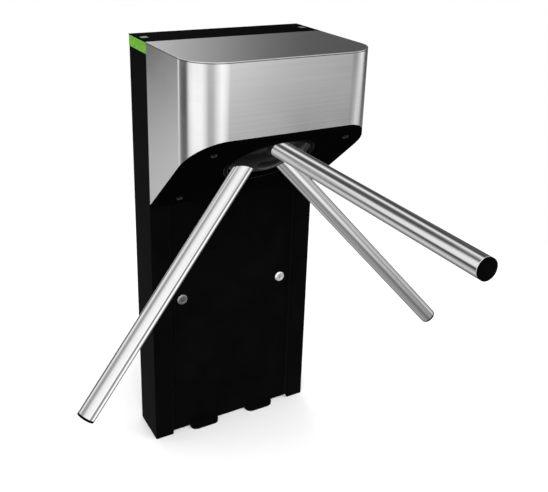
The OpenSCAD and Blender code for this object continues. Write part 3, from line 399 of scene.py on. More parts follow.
def green_lens(name, colour, top):
    """Translucent green lens: lit from within, with fine diffusing prisms and a frosted window at its top."""
    material, tree, shader = new_finish(name, Specular_IOR_Level=0.25, Subsurface_Weight=0.35, Subsurface_Scale=0.004,
                                        Emission_Strength=0.12)
    place = object_place(tree)
    cloud = noise(tree, place, 90, 2)
    prism = put(tree, "TexWave", {"Vector": place, "Scale": 160, "Distortion": 0.4}, bands_direction="Y").outputs[1]
    clear = shades(tree, cloud, (0.3, tinted(colour, 0.86)), (0.7, tinted(colour, 1.1)))
    height = put(tree, "SeparateXYZ", {0: place}).outputs["Z"]
    frost = between(tree, height, 0.0, 1.0, top - FROST_STARTS, top - FROST_FULL)
    base = blend(tree, frost, clear, (0.07, 0.13, 0.045, 1))
    join(tree, shader, Base_Color=base, Emission_Color=base, Roughness=between(tree, cloud, 0.2, 0.34),
         Normal=relief(tree, prism, 0.00003, 0.1))
    return material


def lock_chrome_painted_reflection(name, left, right, slot=None):
    """Chrome on a turned lock: turning marks and faint spotting over a painted reflection, darker on the left lock and
    brighter on the right one.
    slot is the core's face along Y, behind which the key slot gets painted shade."""
    material, tree, shader = new_finish(name, Metallic=1.0)
    place = object_place(tree)
    spot = noise(tree, place, 900, 3)
    mark = noise(tree, object_place(tree, (1500, 1500, 1500)), 1, 4)
    parts = put(tree, "SeparateXYZ", {0: place})
    # Painted reflection: the same chrome is made darker on the left lock and brighter on the right one
    side = between(tree, parts.outputs["X"], 0.0, 1.0, -LOCK_APART, LOCK_APART)
    left_reflection_dark = shades(tree, spot, (0.3, tinted(left, 0.88)), (0.7, tinted(left, 1.15)))
    bright = shades(tree, spot, (0.3, tinted(right, 0.94)), (0.7, tinted(right, 1.05)))
    base = blend(tree, side, left_reflection_dark, bright)
    if slot is not None:
        # Painted shade: the key slot's recess turns dark behind the core's face
        depth = between(tree, parts.outputs["Y"], 0.0, 1.0, slot + SLOT_STARTS, slot + SLOT_DARK)
        base = blend(tree, depth, base, SLOT_SHADE_COLOUR)
    join(tree, shader, Base_Color=base, Roughness=between(tree, spot, 0.12, 0.24),
         Normal=relief(tree, mark, 0.00001, 0.3))
    return material


def zinc_plate(name, scale, share):
    """Zinc plating: a crystal spangle with a slight blue and yellow cast, darkened by a share: black passivation, and
    painted shade on parts seen through gaps inside the column and cover.
    """
    material, tree, shader = new_finish(name, Metallic=1.0)
    place = object_place(tree)
    crystal = put(tree, "TexVoronoi", {"Vector": place, "Scale": scale}).outputs["Color"]
    cell = put(tree, "SeparateColor", {"Color": crystal}).outputs[0]
    grime = noise(tree, place, 60, 4)
    base = shades(tree, cell, (0.0, tinted((0.46, 0.48, 0.5), share)), (0.55, tinted((0.56, 0.57, 0.58), share)),
                  (1.0, tinted((0.62, 0.61, 0.57), share)))
    join(tree, shader, Base_Color=base, Roughness=between(tree, grime, 0.26, 0.46),
         Normal=relief(tree, cell, 0.00002, 0.2))
    return material


def black_oxide(name):
    """Black oxide on a turned screw head: satin, rubbed brighter in patches."""
    material, tree, shader = new_finish(name, Metallic=1.0)
    place = object_place(tree)
    rub = noise(tree, place, 300, 3)
    cut = noise(tree, place, 2400, 2)
    base = shades(tree, rub, (0.35, (0.003, 0.003, 0.0035)), (0.7, (0.011, 0.011, 0.012)))
    join(tree, shader, Base_Color=base, Roughness=between(tree, rub, 0.2, 0.36), Normal=relief(tree, cut, 0.00001, 0.3))
    return material


def machined_steel(name):
    """Turned and ground steel: fine cutter marks round the part's own axis and a film of oil."""
    material, tree, shader = new_finish(name, Metallic=1.0)
    place = object_place(tree, (1, 1, 1), (-(pi / 2 + TILT), 0, 0))
    cut = put(tree, "TexWave", {"Vector": place, "Scale": 700, "Distortion": 1.5, "Detail": 2},
              wave_type="RINGS", rings_direction="Z").outputs[1]
    film = noise(tree, place, 40, 4)
    base = shades(tree, film, (0.3, (0.5, 0.51, 0.53)), (0.7, (0.64, 0.64, 0.65)))
    join(tree, shader, Base_Color=base, Roughness=between(tree, film, 0.2, 0.38),
         Normal=relief(tree, cut, 0.00001, 0.25))
    return material


def cast_aluminium(name):
    """Sand-cast aluminium: pebbled skin and darker pores."""
    material, tree, shader = new_finish(name, Metallic=1.0)
    place = object_place(tree)
    pebble = noise(tree, place, 700, 4, 0.6)
    pore = put(tree, "TexVoronoi", {"Vector": place, "Scale": 420}).outputs["Distance"]
    base = shades(tree, pebble, (0.3, (0.36, 0.37, 0.38)), (0.7, (0.55, 0.56, 0.57)))
    join(tree, shader, Base_Color=base, Roughness=between(tree, pebble, 0.42, 0.62),
         Normal=relief(tree, pebble, 0.00015, 0.5, relief(tree, pore, 0.00005, 0.3)))
    return material


def gear_brass(name):
    """Hobbed brass with a slight tarnish."""
    material, tree, shader = new_finish(name, Metallic=1.0)
    place = object_place(tree)
    tarnish = noise(tree, place, 80, 4)
    cut = noise(tree, object_place(tree, (300, 300, 2400)), 1, 2)
    base = shades(tree, tarnish, (0.3, (0.48, 0.33, 0.12)), (0.7, (0.66, 0.49, 0.2)))
    join(tree, shader, Base_Color=base, Roughness=between(tree, tarnish, 0.24, 0.42),
         Normal=relief(tree, cut, 0.00001, 0.3))
    return material


def circuit_board(name):
    """Black solder mask over copper tracks."""
    material, tree, shader = new_finish(name, Specular_IOR_Level=0.04)
    place = object_place(tree)
    face = object_place(tree, (1, 1, 1), (pi / 2, 0, 0))
    track = put(tree, "TexBrick", {"Vector": face, "Scale": 90.0, "Mortar Size": 0.03,
                                   "Color1": (0.003, 0.004, 0.004, 1), "Color2": (0.002, 0.003, 0.003, 1),
                                   "Mortar": (0.012, 0.01, 0.006, 1)})
    haze = noise(tree, place, 300, 3)
    join(tree, shader, Base_Color=track.outputs["Color"], Roughness=between(tree, haze, 0.25, 0.4),
         Normal=relief(tree, track.outputs["Fac"], 0.00003, 0.5))
    return material


# Mesh work -----------------------------------------------

def folded_sheet(path, low, high, fold, steps):
    """Upright sheet along a path of (x, y) places, its corners rounded; outward is to the path's right."""
    bm = bmesh.new()
    line = [bm.verts.new((x, y, low)) for x, y in path]
    edges = [bm.edges.new(pair) for pair in zip(line, line[1:])]
    raised = [g for g in bmesh.ops.extrude_edge_only(bm, edges=edges)["geom"] if isinstance(g, bmesh.types.BMVert)]
    bmesh.ops.translate(bm, verts=raised, vec=(0, 0, high - low))
    folds = [e for e in bm.edges if len(e.link_faces) == 2]
    bmesh.ops.bevel(bm, geom=folds, offset=fold, offset_type="OFFSET", segments=steps, profile=0.5,
                    affect="EDGES", material=-1)
    bmesh.ops.recalc_face_normals(bm, faces=bm.faces)
    first = Vector((path[0][0], path[0][1], 0))
    second = Vector((path[1][0], path[1][1], 0))
    outward = (second - first).cross(Vector((0, 0, 1)))
    middle = (first + second) / 2
    nearest = min(bm.faces, key=lambda f: (Vector((*f.calc_center_median().xy, 0)) - middle).length)
    if nearest.normal.dot(outward) < 0:
        bmesh.ops.reverse_faces(bm, faces=bm.faces)
    return bm


def turned(profile, steps, place, closed=False):
    """Body of revolution from (radius, height) places about Z, put in place by a matrix."""
    bm = bmesh.new()
    verts = [bm.verts.new((r, 0, z)) for r, z in profile]
    pairs = list(zip(verts, verts[1:])) + ([(verts[-1], verts[0])] if closed else [])
    edges = [bm.edges.new(pair) for pair in pairs]
    bmesh.ops.spin(bm, geom=verts + edges, cent=(0, 0, 0), axis=(0, 0, 1), angle=2 * pi, steps=steps, use_merge=True)
    bmesh.ops.remove_doubles(bm, verts=bm.verts, dist=1e-6)
    bmesh.ops.recalc_face_normals(bm, faces=bm.faces)
    bmesh.ops.transform(bm, matrix=place, verts=bm.verts)
    return bm


def merged_copy(node):
    """A CAD node's mesh as one skin of flat faces."""
    bm = bmesh.new()
    bm.from_mesh(frame["nodes"][node].data)
    bmesh.ops.remove_doubles(bm, verts=bm.verts, dist=2e-6)
    bmesh.ops.dissolve_limit(bm, angle_limit=radians(0.6), verts=bm.verts, edges=bm.edges)
    for face in bm.faces:
        face.material_index = 0
    return bm


def round_edges(bm, width, steps=2, bend=35, where=None):
    """Bevels the edges that bend more than an angle in degrees, where a test on the edge's middle allows it."""
    edges = []
    for edge in bm.edges:
        if len(edge.link_faces) != 2 or edge.calc_face_angle(0) < radians(bend):
            continue
        if where is None or where((edge.verts[0].co + edge.verts[1].co) / 2):
            edges.append(edge)
    bmesh.ops.bevel(bm, geom=edges, offset=width, offset_type="OFFSET", segments=steps, profile=0.5,
                    affect="EDGES", clamp_overlap=True, material=-1)
    return bm


def piece(name, bm, body, nodes, material):
    """Makes a finished piece of a bmesh: shaded, riding on its body and standing for its CAD nodes.
    The studio alone is mirrored in the steel, so that the tubes stay bright up to the hub, as in the photograph."""
    mesh = bpy.data.meshes.new(name)
    bm.to_mesh(mesh)
    bm.free()
    mesh.materials.append(material)
    mesh.polygons.foreach_set("use_smooth", [True] * len(mesh.polygons))
    mesh.set_sharp_from_angle(angle=radians(SMOOTH_ANGLE))
    obj = bpy.data.objects.new(name, mesh)
    bpy.context.scene.collection.objects.link(obj)
    obj.visible_glossy = False
    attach(obj, body)
    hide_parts(*nodes)
    even_shading(obj)
    return obj


def even_shading(obj):
    """Keeps flat faces flat beside small rounded edges."""
    shading = obj.modifiers.new("Even shading", "WEIGHTED_NORMAL")
    shading.keep_sharp = True
    shading.weight = 80


def wall(obj, thickness, edge):
    """Gives a sheet its thickness inward and rounds its cut edges."""
    for modifier in list(obj.modifiers):
        obj.modifiers.remove(modifier)
    solid = obj.modifiers.new("Sheet", "SOLIDIFY")
    solid.thickness = thickness
    solid.offset = -1
    solid.use_even_offset = True
    rim = obj.modifiers.new("Cut edge", "BEVEL")
    rim.width = edge
    rim.segments = 2
    rim.limit_method = "ANGLE"
    rim.angle_limit = radians(60)
    even_shading(obj)


def note_places(obj, place):
    """Writes each point's place in the piece's own frame as an attribute for its pattern."""
    back = place.inverted()
    own = obj.data.attributes.new("own_place", "FLOAT_VECTOR", "POINT")
    own.data.foreach_set("vector", [c for v in obj.data.vertices for c in back @ v.co])


def girth_map(obj, place):
    """UV map of a tube: U round the girth, V along it."""
    back = place.inverted()
    layer = obj.data.uv_layers.new(name="grain")
    for face in obj.data.polygons:
        middle = back @ face.center
        ahead = atan2(middle.y, middle.x)
        for index in face.loop_indices:
            spot = back @ obj.data.vertices[obj.data.loops[index].vertex_index].co
            turn = atan2(spot.y, spot.x) - ahead
            turn = (turn + pi) % (2 * pi) - pi
            layer.data[index].uv = ((ahead + turn) / (2 * pi), spot.z)


def sheet_map(obj):
    """UV map of a bent sheet: U along the brushing, level on a wall and side to side on a flat top."""
    layer = obj.data.uv_layers.new(name="grain")
    for face in obj.data.polygons:
        flat = abs(face.normal.z) > 0.7
        along = Vector((1, 0, 0)) if flat else Vector((-face.normal.y, face.normal.x, 0)).normalized()
        across = face.normal.cross(along)
        for index in face.loop_indices:
            spot = obj.data.vertices[obj.data.loops[index].vertex_index].co
            layer.data[index].uv = (spot.dot(along), spot.dot(across))


def dress(nodes, material):
    """Gives CAD nodes a finish, keeps their shape and leaves them out of the steel's reflections."""
    for node in nodes:
        obj = frame["nodes"][node]
        obj.visible_glossy = False
        obj.data.materials.clear()
        obj.data.materials.append(material)


# Operators -----------------------------------------------

class TURNSTILE_OT_column(bpy.types.Operator):
    """Folded column sheet: back, sides, front flanges and their lips"""
    bl_idname = "turnstile.column"
    bl_label = "Column sheet"

    def execute(self, context):
        sizes = context.scene.turnstile_column
        finishes = context.scene.turnstile_finishes
        low, high = COLUMN_LOW, COLUMN_HIGH
        gap, lip = sizes.opening, low.y + sizes.lip
        path = [(gap, lip), (gap, low.y), (high.x, low.y), (high.x, high.y),
                (low.x, high.y), (low.x, low.y), (-gap, low.y), (-gap, lip)]
        bm = folded_sheet(path, low.z, high.z, sizes.fold, 4)
        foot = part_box("base_plate")[1].z + sizes.sheet
        inner = [f for f in bm.faces if abs(f.calc_center_median().x) < gap + sizes.edge]
        parts = set(inner) | {e for f in inner for e in f.edges} | {v for f in inner for v in f.verts}
        bmesh.ops.bisect_plane(bm, geom=list(parts), plane_co=(0, 0, foot), plane_no=(0, 0, 1))
        below = [f for f in bm.faces if abs(f.calc_center_median().x) < gap + sizes.edge
                 and f.calc_center_median().z < foot and f.calc_center_median().y > low.y + sizes.sheet]
        bmesh.ops.delete(bm, geom=below, context="FACES")
        obj = piece("column_sheet", bm, "frame", ["column_shell"],
                    powder_paint("column_powder_paint", finishes.paint))
        wall(obj, sizes.sheet, sizes.edge)
        return {"FINISHED"}


class TURNSTILE_OT_column_parts(bpy.types.Operator):
    """Floor plate, service panel and cap of the column"""
    bl_idname = "turnstile.column_parts"
    bl_label = "Floor plate, panel and cap"

    def execute(self, context):
        finishes = context.scene.turnstile_finishes
        paint = powder_paint("panel_powder_paint", finishes.paint)
        plate = round_edges(merged_copy("base_plate"), PLATE_EDGE, 2, 50)
        piece("floor_plate", plate, "frame", ["base_plate"],
              powder_paint("floor_plate_paint", finishes.paint))
        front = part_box("front_panel")[0].y
        panel = round_edges(merged_copy("front_panel"), PANEL_FOLD, 4, 50, lambda p: p.y < front + NEAR)
        piece("service_panel", panel, "frame", ["front_panel"], paint)
        cap = round_edges(merged_copy("column_cap"), COLUMN_CAP_EDGE, 2, 50, lambda p: p.z > COLUMN_HIGH.z - NEAR)
        piece("column_top_cap", cap, "frame", ["column_cap"], moulded_black("cap_moulding"))
        return {"FINISHED"}


class TURNSTILE_OT_status_lights(bpy.types.Operator):
    """Green light lens at each end of the cap"""
    bl_idname = "turnstile.status_lights"
    bl_label = "Status lights"

    def execute(self, context):
        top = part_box("light_lens_left")[1].z
        material = green_lens("light_green_lens", context.scene.turnstile_finishes.lens, top)
        for side in ("left", "right"):
            lens = round_edges(merged_copy(f"light_lens_{side}"), LENS_EDGE, 2, 50)
            piece(f"status_light_{side}", lens, "frame", [f"light_lens_{side}"], material)
        return {"FINISHED"}


class TURNSTILE_OT_locks(bpy.types.Operator):
    """Round chrome lock faces and their turning cores"""
    bl_idname = "turnstile.locks"
    bl_label = "Locks"

    def execute(self, context):
        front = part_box("lock_core_left")[0].y
        # Painted reflection tones: the same chrome, darker on the left lock and brighter on the right
        face_chrome = lock_chrome_painted_reflection("lock_face_chrome_painted_reflection", (0.28, 0.28, 0.3), (0.84, 0.88, 0.87))
        core_chrome = lock_chrome_painted_reflection("lock_core_chrome_painted_light", (0.13, 0.13, 0.145), (0.78, 0.82, 0.81), front)
        for side in ("left", "right"):
            face = round_edges(merged_copy(f"lock_body_{side}"), LOCK_FACE_EDGE, 2, 30)
            piece(f"lock_face_{side}", face, "frame", [f"lock_body_{side}"], face_chrome)
            core = round_edges(merged_copy(f"lock_core_{side}"), LOCK_BARREL_EDGE, 2, 50)
            piece(f"lock_barrel_{side}", core, f"lock_{side}", [f"lock_core_{side}"], core_chrome)
        return {"FINISHED"}


class TURNSTILE_OT_cover(bpy.types.Operator):
    """Stainless band of the cover and the plate on top of it"""
    bl_idname = "turnstile.cover"
    bl_label = "Stainless cover"

    def execute(self, context):
        sizes = context.scene.turnstile_cover
        finishes = context.scene.turnstile_finishes
        low, high = COVER_LOW, COVER_HIGH
        path = [(low.x, high.y), (low.x, low.y), (high.x, low.y), (high.x, high.y)]
        bm = folded_sheet(path, low.z - CUT_OVERRUN, high.z, sizes.corner, sizes.steps)
        bmesh.ops.bisect_plane(bm, geom=bm.verts[:] + bm.edges[:] + bm.faces[:], plane_co=FACE - AXIS * sizes.band,
                               plane_no=AXIS, clear_outer=True)
        obj = piece("cover_band", bm, "frame", ["cover_shell"],
                    brushed_steel("cover_band_steel", finishes.steel, (5, 5, 1900), seam=high.z))
        sheet_map(obj)
        wall(obj, sizes.sheet, COVER_CUT_EDGE)

        plate = bmesh.new()
        bmesh.ops.create_grid(plate, x_segments=1, y_segments=1, size=0.5)
        size = TOP_HIGH - TOP_LOW
        bmesh.ops.scale(plate, vec=(size.x, size.y, 1), verts=plate.verts)
        middle = (TOP_LOW + TOP_HIGH) / 2
        bmesh.ops.translate(plate, vec=(middle.x, middle.y, TOP_LOW.z), verts=plate.verts)
        sheet = bmesh.ops.extrude_face_region(plate, geom=plate.faces[:])["geom"]
        bmesh.ops.translate(plate, vec=(0, 0, size.z), verts=[g for g in sheet if isinstance(g, bmesh.types.BMVert)])
        bmesh.ops.recalc_face_normals(plate, faces=plate.faces)
        uprights = [e for e in plate.edges if abs(e.verts[0].co.z - e.verts[1].co.z) > size.z / 2
                    and e.verts[0].co.y < middle.y]
        bmesh.ops.bevel(plate, geom=uprights, offset=sizes.corner, offset_type="OFFSET", segments=sizes.steps,
                        profile=0.5, affect="EDGES", material=-1)
        round_edges(plate, sizes.top_edge, 3, 50, lambda p: p.z > TOP_HIGH.z - NEAR)
        round_edges(plate, TOP_LOWER_EDGE, 2, 50, lambda p: p.z < TOP_LOW.z + NEAR)
        obj = piece("cover_top_plate", plate, "frame", ["cover_top"],
                    brushed_steel("cover_top_brushed_steel", finishes.steel, (5, 1900, 1900), (0.235, 0.245)))
        sheet_map(obj)
        return {"FINISHED"}


class TURNSTILE_OT_underside(bpy.types.Operator):
    """Black panel that closes the slope, the collar round the hub's opening and the panel's screws"""
    bl_idname = "turnstile.underside"
    bl_label = "Underside panel"

    def execute(self, context):
        sizes = context.scene.turnstile_cover
        finishes = context.scene.turnstile_finishes
        collar_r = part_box("hub_ring")[1].x

        def outer_edge(p):
            off = p - FACE
            height = off.dot(AXIS)
            return abs(height) < SLOPE_NEAR and (off - AXIS * height).length > collar_r
        panel = round_edges(merged_copy("underside_panel"), sizes.panel_edge, 4, 30, outer_edge)
        # The underside's paint is the column's black at half brightness: painted shade on the downward face
        piece("slope_panel", panel, "frame", ["underside_panel"],
              powder_paint("underside_shaded_powder_paint", tinted(finishes.paint, 0.5), 0.0004))
        ring = round_edges(merged_copy("hub_ring"), COLLAR_EDGE, 2, 30)
        piece("hub_collar", ring, "frame", ["hub_ring"],
              gloss_black("collar_gloss_black", finishes.hub, 0.003))
        screws = round_edges(merged_copy("underside_screws"), SCREW_EDGE, 2, 50)
        piece("slope_screws", screws, "frame", ["underside_screws"], black_oxide("screw_black_oxide"))
        return {"FINISHED"}


class TURNSTILE_OT_hub(bpy.types.Operator):
    """Gloss black hub and the domed cap on its nose"""
    bl_idname = "turnstile.hub"
    bl_label = "Hub"

    def execute(self, context):
        sizes = context.scene.turnstile_tripod
        material = gloss_black("hub_gloss_black", context.scene.turnstile_finishes.hub)
        body = round_edges(merged_copy("hub"), sizes.hub_edge, 3, 25)
        piece("hub_casting", body, "tripod", ["hub"], material)
        cap = round_edges(merged_copy("hub_cap"), NOSE_CAP_EDGE, 2, 25)
        piece("hub_nose_cap", cap, "tripod", ["hub_cap"], material)
        return {"FINISHED"}


class TURNSTILE_OT_arms(bpy.types.Operator):
    """The three stainless tubes and their black caps"""
    bl_idname = "turnstile.arms"
    bl_label = "Arms"

    def execute(self, context):
        sizes = context.scene.turnstile_tripod
        steel = ground_tube("arm_ground_steel", context.scene.turnstile_finishes.tube)
        black = moulded_black("arm_cap_moulding", (0.002, 0.002, 0.0022), 1100)
        r = (ARM_HIGH.x - ARM_LOW.x) / 2
        end = APEX.y - ARM_LOW.y
        tip = APEX.y - CAP_LOW.y
        for number, name in enumerate(("front", "left", "right")):
            place = on_arm(number)
            bore, edge = r - sizes.wall, sizes.tube_edge
            section = [(bore, sizes.floor), (r, sizes.floor), (r, end - edge), (r - edge, end), (bore, end)]
            tube = turned(section, sizes.steps, place, closed=True)
            obj = piece(f"arm_tube_{name}", tube, "tripod", [f"arm_{name}"], steel)
            note_places(obj, place)
            girth_map(obj, place)
            root, seat = end - CAP_PLUG, end + CAP_GAP
            plug, neck, rim = bore - NEAR, r - CAP_NECK, r - NEAR
            section = [(0, root), (plug, root), (plug, end), (neck, end), (neck, seat), (rim, seat),
                       (rim, tip - CAP_CROWN), (r * CAP_FLAT, tip), (0, tip)]
            cap = turned(section, sizes.steps, place)
            round_edges(cap, sizes.cap_edge * CAP_EDGE_SHARE, 3, 12,
                        lambda p, back=place.inverted(): (back @ p).z > tip - CAP_RIM)
            piece(f"arm_end_{name}", cap, "tripod", [f"arm_cap_{name}"], black)
        return {"FINISHED"}


class TURNSTILE_OT_inner_parts(bpy.types.Operator):
    """Finishes of the parts inside the column and the cover"""
    bl_idname = "turnstile.inner_parts"
    bl_label = "Inner parts"

    def execute(self, context):
        finishes = {
            "board": circuit_board("circuit_board_black"),
            # Fasteners and cheeks darkened to a twentieth and less: black zinc, and painted shade for parts seen
            # through gaps
            "zinc": zinc_plate("fastener_black_zinc_and_shade", 700, 0.05),
            "zinc_sheet": zinc_plate("cheek_black_zinc_and_shade", 140, 0.03),
            "machined_steel": machined_steel("machined_parts_steel"),
            "cast_housing": cast_aluminium("housing_cast_aluminium"),
            "gear_brass": gear_brass("damper_gear_brass"),
            "housing_black": moulded_black("damper_housing_black", (0.02, 0.02, 0.022), 1300),
        }
        for part in frame["record"]["subparts"]:
            node = frame["nodes"][part["node"]]
            if part["material_slot"] in finishes and not node.hide_render:
                dress([part["node"]], finishes[part["material_slot"]])
        return {"FINISHED"}


class TURNSTILE_OT_stage(bpy.types.Operator):
    """Pale floor, soft studio light and the camera"""
    bl_idname = "turnstile.stage"
    bl_label = "Stage"

    # What stands round the turnstile, at four heights from the floor up: azimuth in degrees (0 to the front,
    # 90 to its right) and brightness
    ROOM_DEEP = [(-180, 0.3), (-164, 0.66), (-150, 1.1), (-124, 0.35), (-76, 0.4), (-40, 0.6), (-22, 0.45),
                 (-8, 0.4), (11, 0.2), (28, 0.45), (42, 0.9), (54, 1.9), (80, 1.9), (95, 0.6), (110, 0.16),
                 (140, 0.3), (171, 0.28), (180, 0.3)]
    ROOM_LOW = [(-180, 0.5), (-166, 0.55), (-158, 0.7), (-151, 1.2), (-145, 0.6), (-136, 0.2), (-123, 0.12),
                (-112, 0.2), (-99, 1.4), (-86, 1.8), (-60, 1.8), (-48, 1.3), (-37, 0.62), (-25, 0.66), (-12, 1.3),
                (0, 1.8), (13, 1.2), (22, 0.5), (30, 0.2), (38, 0.2), (46, 0.45), (56, 0.9), (66, 1.3), (78, 0.6),
                (96, 0.15), (116, 0.35), (136, 0.35), (160, 0.8), (180, 0.5)]
    ROOM_MID = [(-180, 0.7), (-166, 0.07), (-158, 0.09), (-152, 0.9), (-148, 1.9), (-144.5, 0.3), (-136, 0.06),
                (-124, 0.02), (-112, 0.03), (-101, 1.45), (-86, 1.75), (-60, 1.7), (-48, 1.2), (-38, 0.62),
                (-26, 0.7), (-12, 1.3), (0, 1.8), (13, 1.9), (24, 1.8), (32, 0.95), (42, 0.36), (52, 0.22),
                (58, 0.3), (68, 0.8), (78, 1.6), (88, 1.3), (97, 0.3), (104, 0.06), (126, 0.05), (145, 0.4),
                (165, 0.8), (180, 0.7)]
    ROOM_HIGH = [(-180, 0.75), (-176, 0.35), (-168, 0.16), (-160, 0.08), (-149, 0.1), (-142.5, 0.3), (-138, 1.35),
                 (-128, 1.45), (-114, 0.75), (-98, 0.5), (-76, 0.7), (-55, 1.3), (-20, 1.6), (8, 1.6), (40, 0.78),
                 (55, 0.6), (74, 1.2), (82, 0.45), (92, 0.6), (99, 1.15), (106, 0.6), (114, 0.15), (128, 0.12),
                 (136, 0.16), (142, 0.07), (148, 0.1), (152, 0.26), (157, 0.6), (162, 0.95), (168, 1.5), (174, 1.4),
                 (180, 0.75)]
    # Sines of the elevation between which one height's brightness turns into the next, and the ceiling's
    ROOM_FADES = [(-0.5, -0.36), (-0.32, -0.17), (-0.16, 0.04)]
    CEILING_FADE = (0.72, 0.85)
    ROOM_STRENGTH = 2.0
    CEILING_TONE = (0.6, 0.6, 0.6, 1)
    BOARD_TONE = (0.62, 0.62, 0.62, 1)
    # A pale board behind the left: its share by azimuth, and by height as the sine of the elevation doubled
    BOARD_ACROSS = [(-180, 0.5), (-172, 1.0), (-141, 1.0), (-134, 0.0), (165, 0.0), (180, 0.5)]
    BOARD_UP = [(0.2, 0.0), (0.4, 1.0), (0.7, 1.0), (0.86, 0.0)]

    def execute(self, context):
        stage = context.scene.turnstile_stage
        self.floor(context, stage)
        self.room(context, stage)
        self.lights(context, stage)
        self.camera(context, stage)
        context.scene.view_settings.view_transform = "Standard"
        return {"FINISHED"}

    def floor(self, context, stage):
        bm = bmesh.new()
        bmesh.ops.create_circle(bm, cap_ends=True, segments=96, radius=stage.floor_reach)
        mesh = bpy.data.meshes.new("studio_floor")
        bm.to_mesh(mesh)
        bm.free()
        obj = bpy.data.objects.new("studio_floor", mesh)
        context.scene.collection.objects.link(obj)
        material, tree, shader = new_finish("studio_floor_paper", Roughness=0.9, Specular_IOR_Level=0.0)
        fibre = noise(tree, object_place(tree), 60, 3)
        tone = shades(tree, fibre, (0.3, tinted(stage.floor, 0.995)), (0.7, tinted(stage.floor, 1.005)))
        join(tree, shader, Base_Color=tone)
        place = object_place(tree)
        far = put(tree, "VectorMath", {0: place}, operation="LENGTH").outputs["Value"]
        seen = between(tree, far, 1.0, 0.0, stage.floor_reach * 0.6, stage.floor_reach)
        seen.node.interpolation_type = "SMOOTHSTEP"
        join(tree, shader, Alpha=seen)
        mesh.materials.append(material)
        obj.visible_glossy = False

    def room(self, context, stage):
        world = bpy.data.worlds.new("studio_room")
        context.scene.world = world
        world.use_nodes = True
        tree = world.node_tree
        backdrop = tree.nodes["Background"]
        direction = put(tree, "SeparateXYZ", {0: put(tree, "TexCoord").outputs["Generated"]})
        front = math(tree, "MULTIPLY", direction.outputs["Y"], -1.0)
        azimuth = math(tree, "ARCTAN2", direction.outputs["X"], front)
        turn = between(tree, azimuth, 0.0, 1.0, -pi, pi)
        walls, *higher = [shades(tree, turn, *[(a / 360 + 0.5, b / self.ROOM_STRENGTH) for a, b in band])
                          for band in (self.ROOM_DEEP, self.ROOM_LOW, self.ROOM_MID, self.ROOM_HIGH)]
        height = direction.outputs["Z"]
        for band, fade in zip(higher, self.ROOM_FADES):
            walls = blend(tree, between(tree, height, 0.0, 1.0, *fade), walls, band)
        across = shades(tree, turn, *[(a / 360 + 0.5, b) for a, b in self.BOARD_ACROSS])
        up = shades(tree, math(tree, "MULTIPLY", height, 2.0), *self.BOARD_UP)
        board = blend(tree, math(tree, "MULTIPLY", across, up), walls, self.BOARD_TONE)
        room = blend(tree, between(tree, height, 0.0, 1.0, *self.CEILING_FADE), board, self.CEILING_TONE)
        backdrop.inputs["Strength"].default_value = self.ROOM_STRENGTH
        tree.links.new(room, backdrop.inputs["Color"])
        paper = put(tree, "Background", {"Color": (*stage.backdrop, 1), "Strength": 1.0})
        seen = put(tree, "LightPath").outputs["Is Camera Ray"]
        mix = put(tree, "MixShader", {0: seen, 1: backdrop.outputs[0], 2: paper.outputs[0]})
        tree.links.new(mix.outputs[0], tree.nodes["World Output"].inputs["Surface"])

    def lights(self, context, stage):
        middle = Vector((0, -0.1, 0.5))
        soft_boxes = (("studio_key_light", (-1.2, -2.2, 2.8), stage.key, 2.2),
                      ("studio_fill_light", (1.8, -1.4, 2.4), stage.key * 0.5, 2.0),
                      ("studio_back_light", (0.3, 2.4, 2.6), stage.key * 0.5, 2.4))
        for name, at, power, size in soft_boxes:
            light = bpy.data.lights.new(name, "AREA")
            light.shape = "DISK"
            light.size = size
            light.energy = power
            obj = bpy.data.objects.new(name, light)
            obj.location = at
            obj.rotation_euler = (middle - Vector(at)).to_track_quat("-Z", "Y").to_euler()
            obj.visible_glossy = False
            context.scene.collection.objects.link(obj)

    def camera(self, context, stage):
        yaw, pitch, roll = stage.camera_turn
        ahead = Vector((sin(yaw) * cos(pitch), cos(yaw) * cos(pitch), -sin(pitch)))
        level = Vector((cos(yaw), -sin(yaw), 0))
        down = ahead.cross(level)
        right = level * cos(roll) + down * sin(roll)
        down = down * cos(roll) - level * sin(roll)
        camera = bpy.data.cameras.new("photo_camera")
        camera.sensor_width = 36
        camera.lens = stage.lens
        camera.shift_x, camera.shift_y = stage.camera_shift
        obj = bpy.data.objects.new("photo_camera", camera)
        turn = Matrix((right, -down, -ahead)).transposed().to_4x4()
        obj.matrix_world = Matrix.Translation(stage.camera_at) @ turn
        context.scene.collection.objects.link(obj)
        context.scene.camera = obj


class TURNSTILE_PT_build(bpy.types.Panel):
    """Build steps and settings of the tripod turnstile"""
    bl_idname = "TURNSTILE_PT_build"
    bl_label = "Tripod turnstile"
    bl_space_type = "VIEW_3D"
    bl_region_type = "UI"
    bl_category = "Turnstile"

    def draw(self, context):
        layout = self.layout
        for operator in OPERATORS:
            layout.operator(operator.bl_idname)
        for name, group in SETTINGS.items():
            box = layout.box()
            box.label(text=group.__doc__)
            settings = getattr(context.scene, name)
            for key in group.__annotations__:
                box.prop(settings, key)


SETTINGS = {
    "turnstile_column": ColumnSettings,
    "turnstile_cover": CoverSettings,
    "turnstile_tripod": TripodSettings,
    "turnstile_finishes": FinishSettings,
    "turnstile_stage": StageSettings,
}
OPERATORS = (TURNSTILE_OT_column, TURNSTILE_OT_column_parts, TURNSTILE_OT_status_lights, TURNSTILE_OT_locks,
             TURNSTILE_OT_cover, TURNSTILE_OT_underside, TURNSTILE_OT_hub, TURNSTILE_OT_arms,
             TURNSTILE_OT_inner_parts, TURNSTILE_OT_stage)


def register():
    for group in (*SETTINGS.values(), *OPERATORS, TURNSTILE_PT_build):
        bpy.utils.register_class(group)
    for name, group in SETTINGS.items():
        setattr(bpy.types.Scene, name, PointerProperty(type=group))


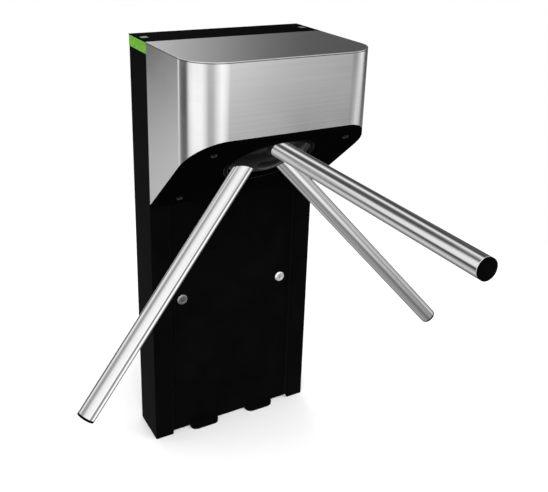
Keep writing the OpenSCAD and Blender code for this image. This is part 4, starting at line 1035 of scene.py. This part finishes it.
def unregister():
    for name in SETTINGS:
        delattr(bpy.types.Scene, name)
    for group in reversed((*SETTINGS.values(), *OPERATORS, TURNSTILE_PT_build)):
        bpy.utils.unregister_class(group)


def main():
    """Builds every piece in order."""
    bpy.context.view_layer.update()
    register()
    for operator in OPERATORS:
        group, step = operator.bl_idname.split(".")
        getattr(getattr(bpy.ops, group), step)()


if __name__ == "__main__":
    main()
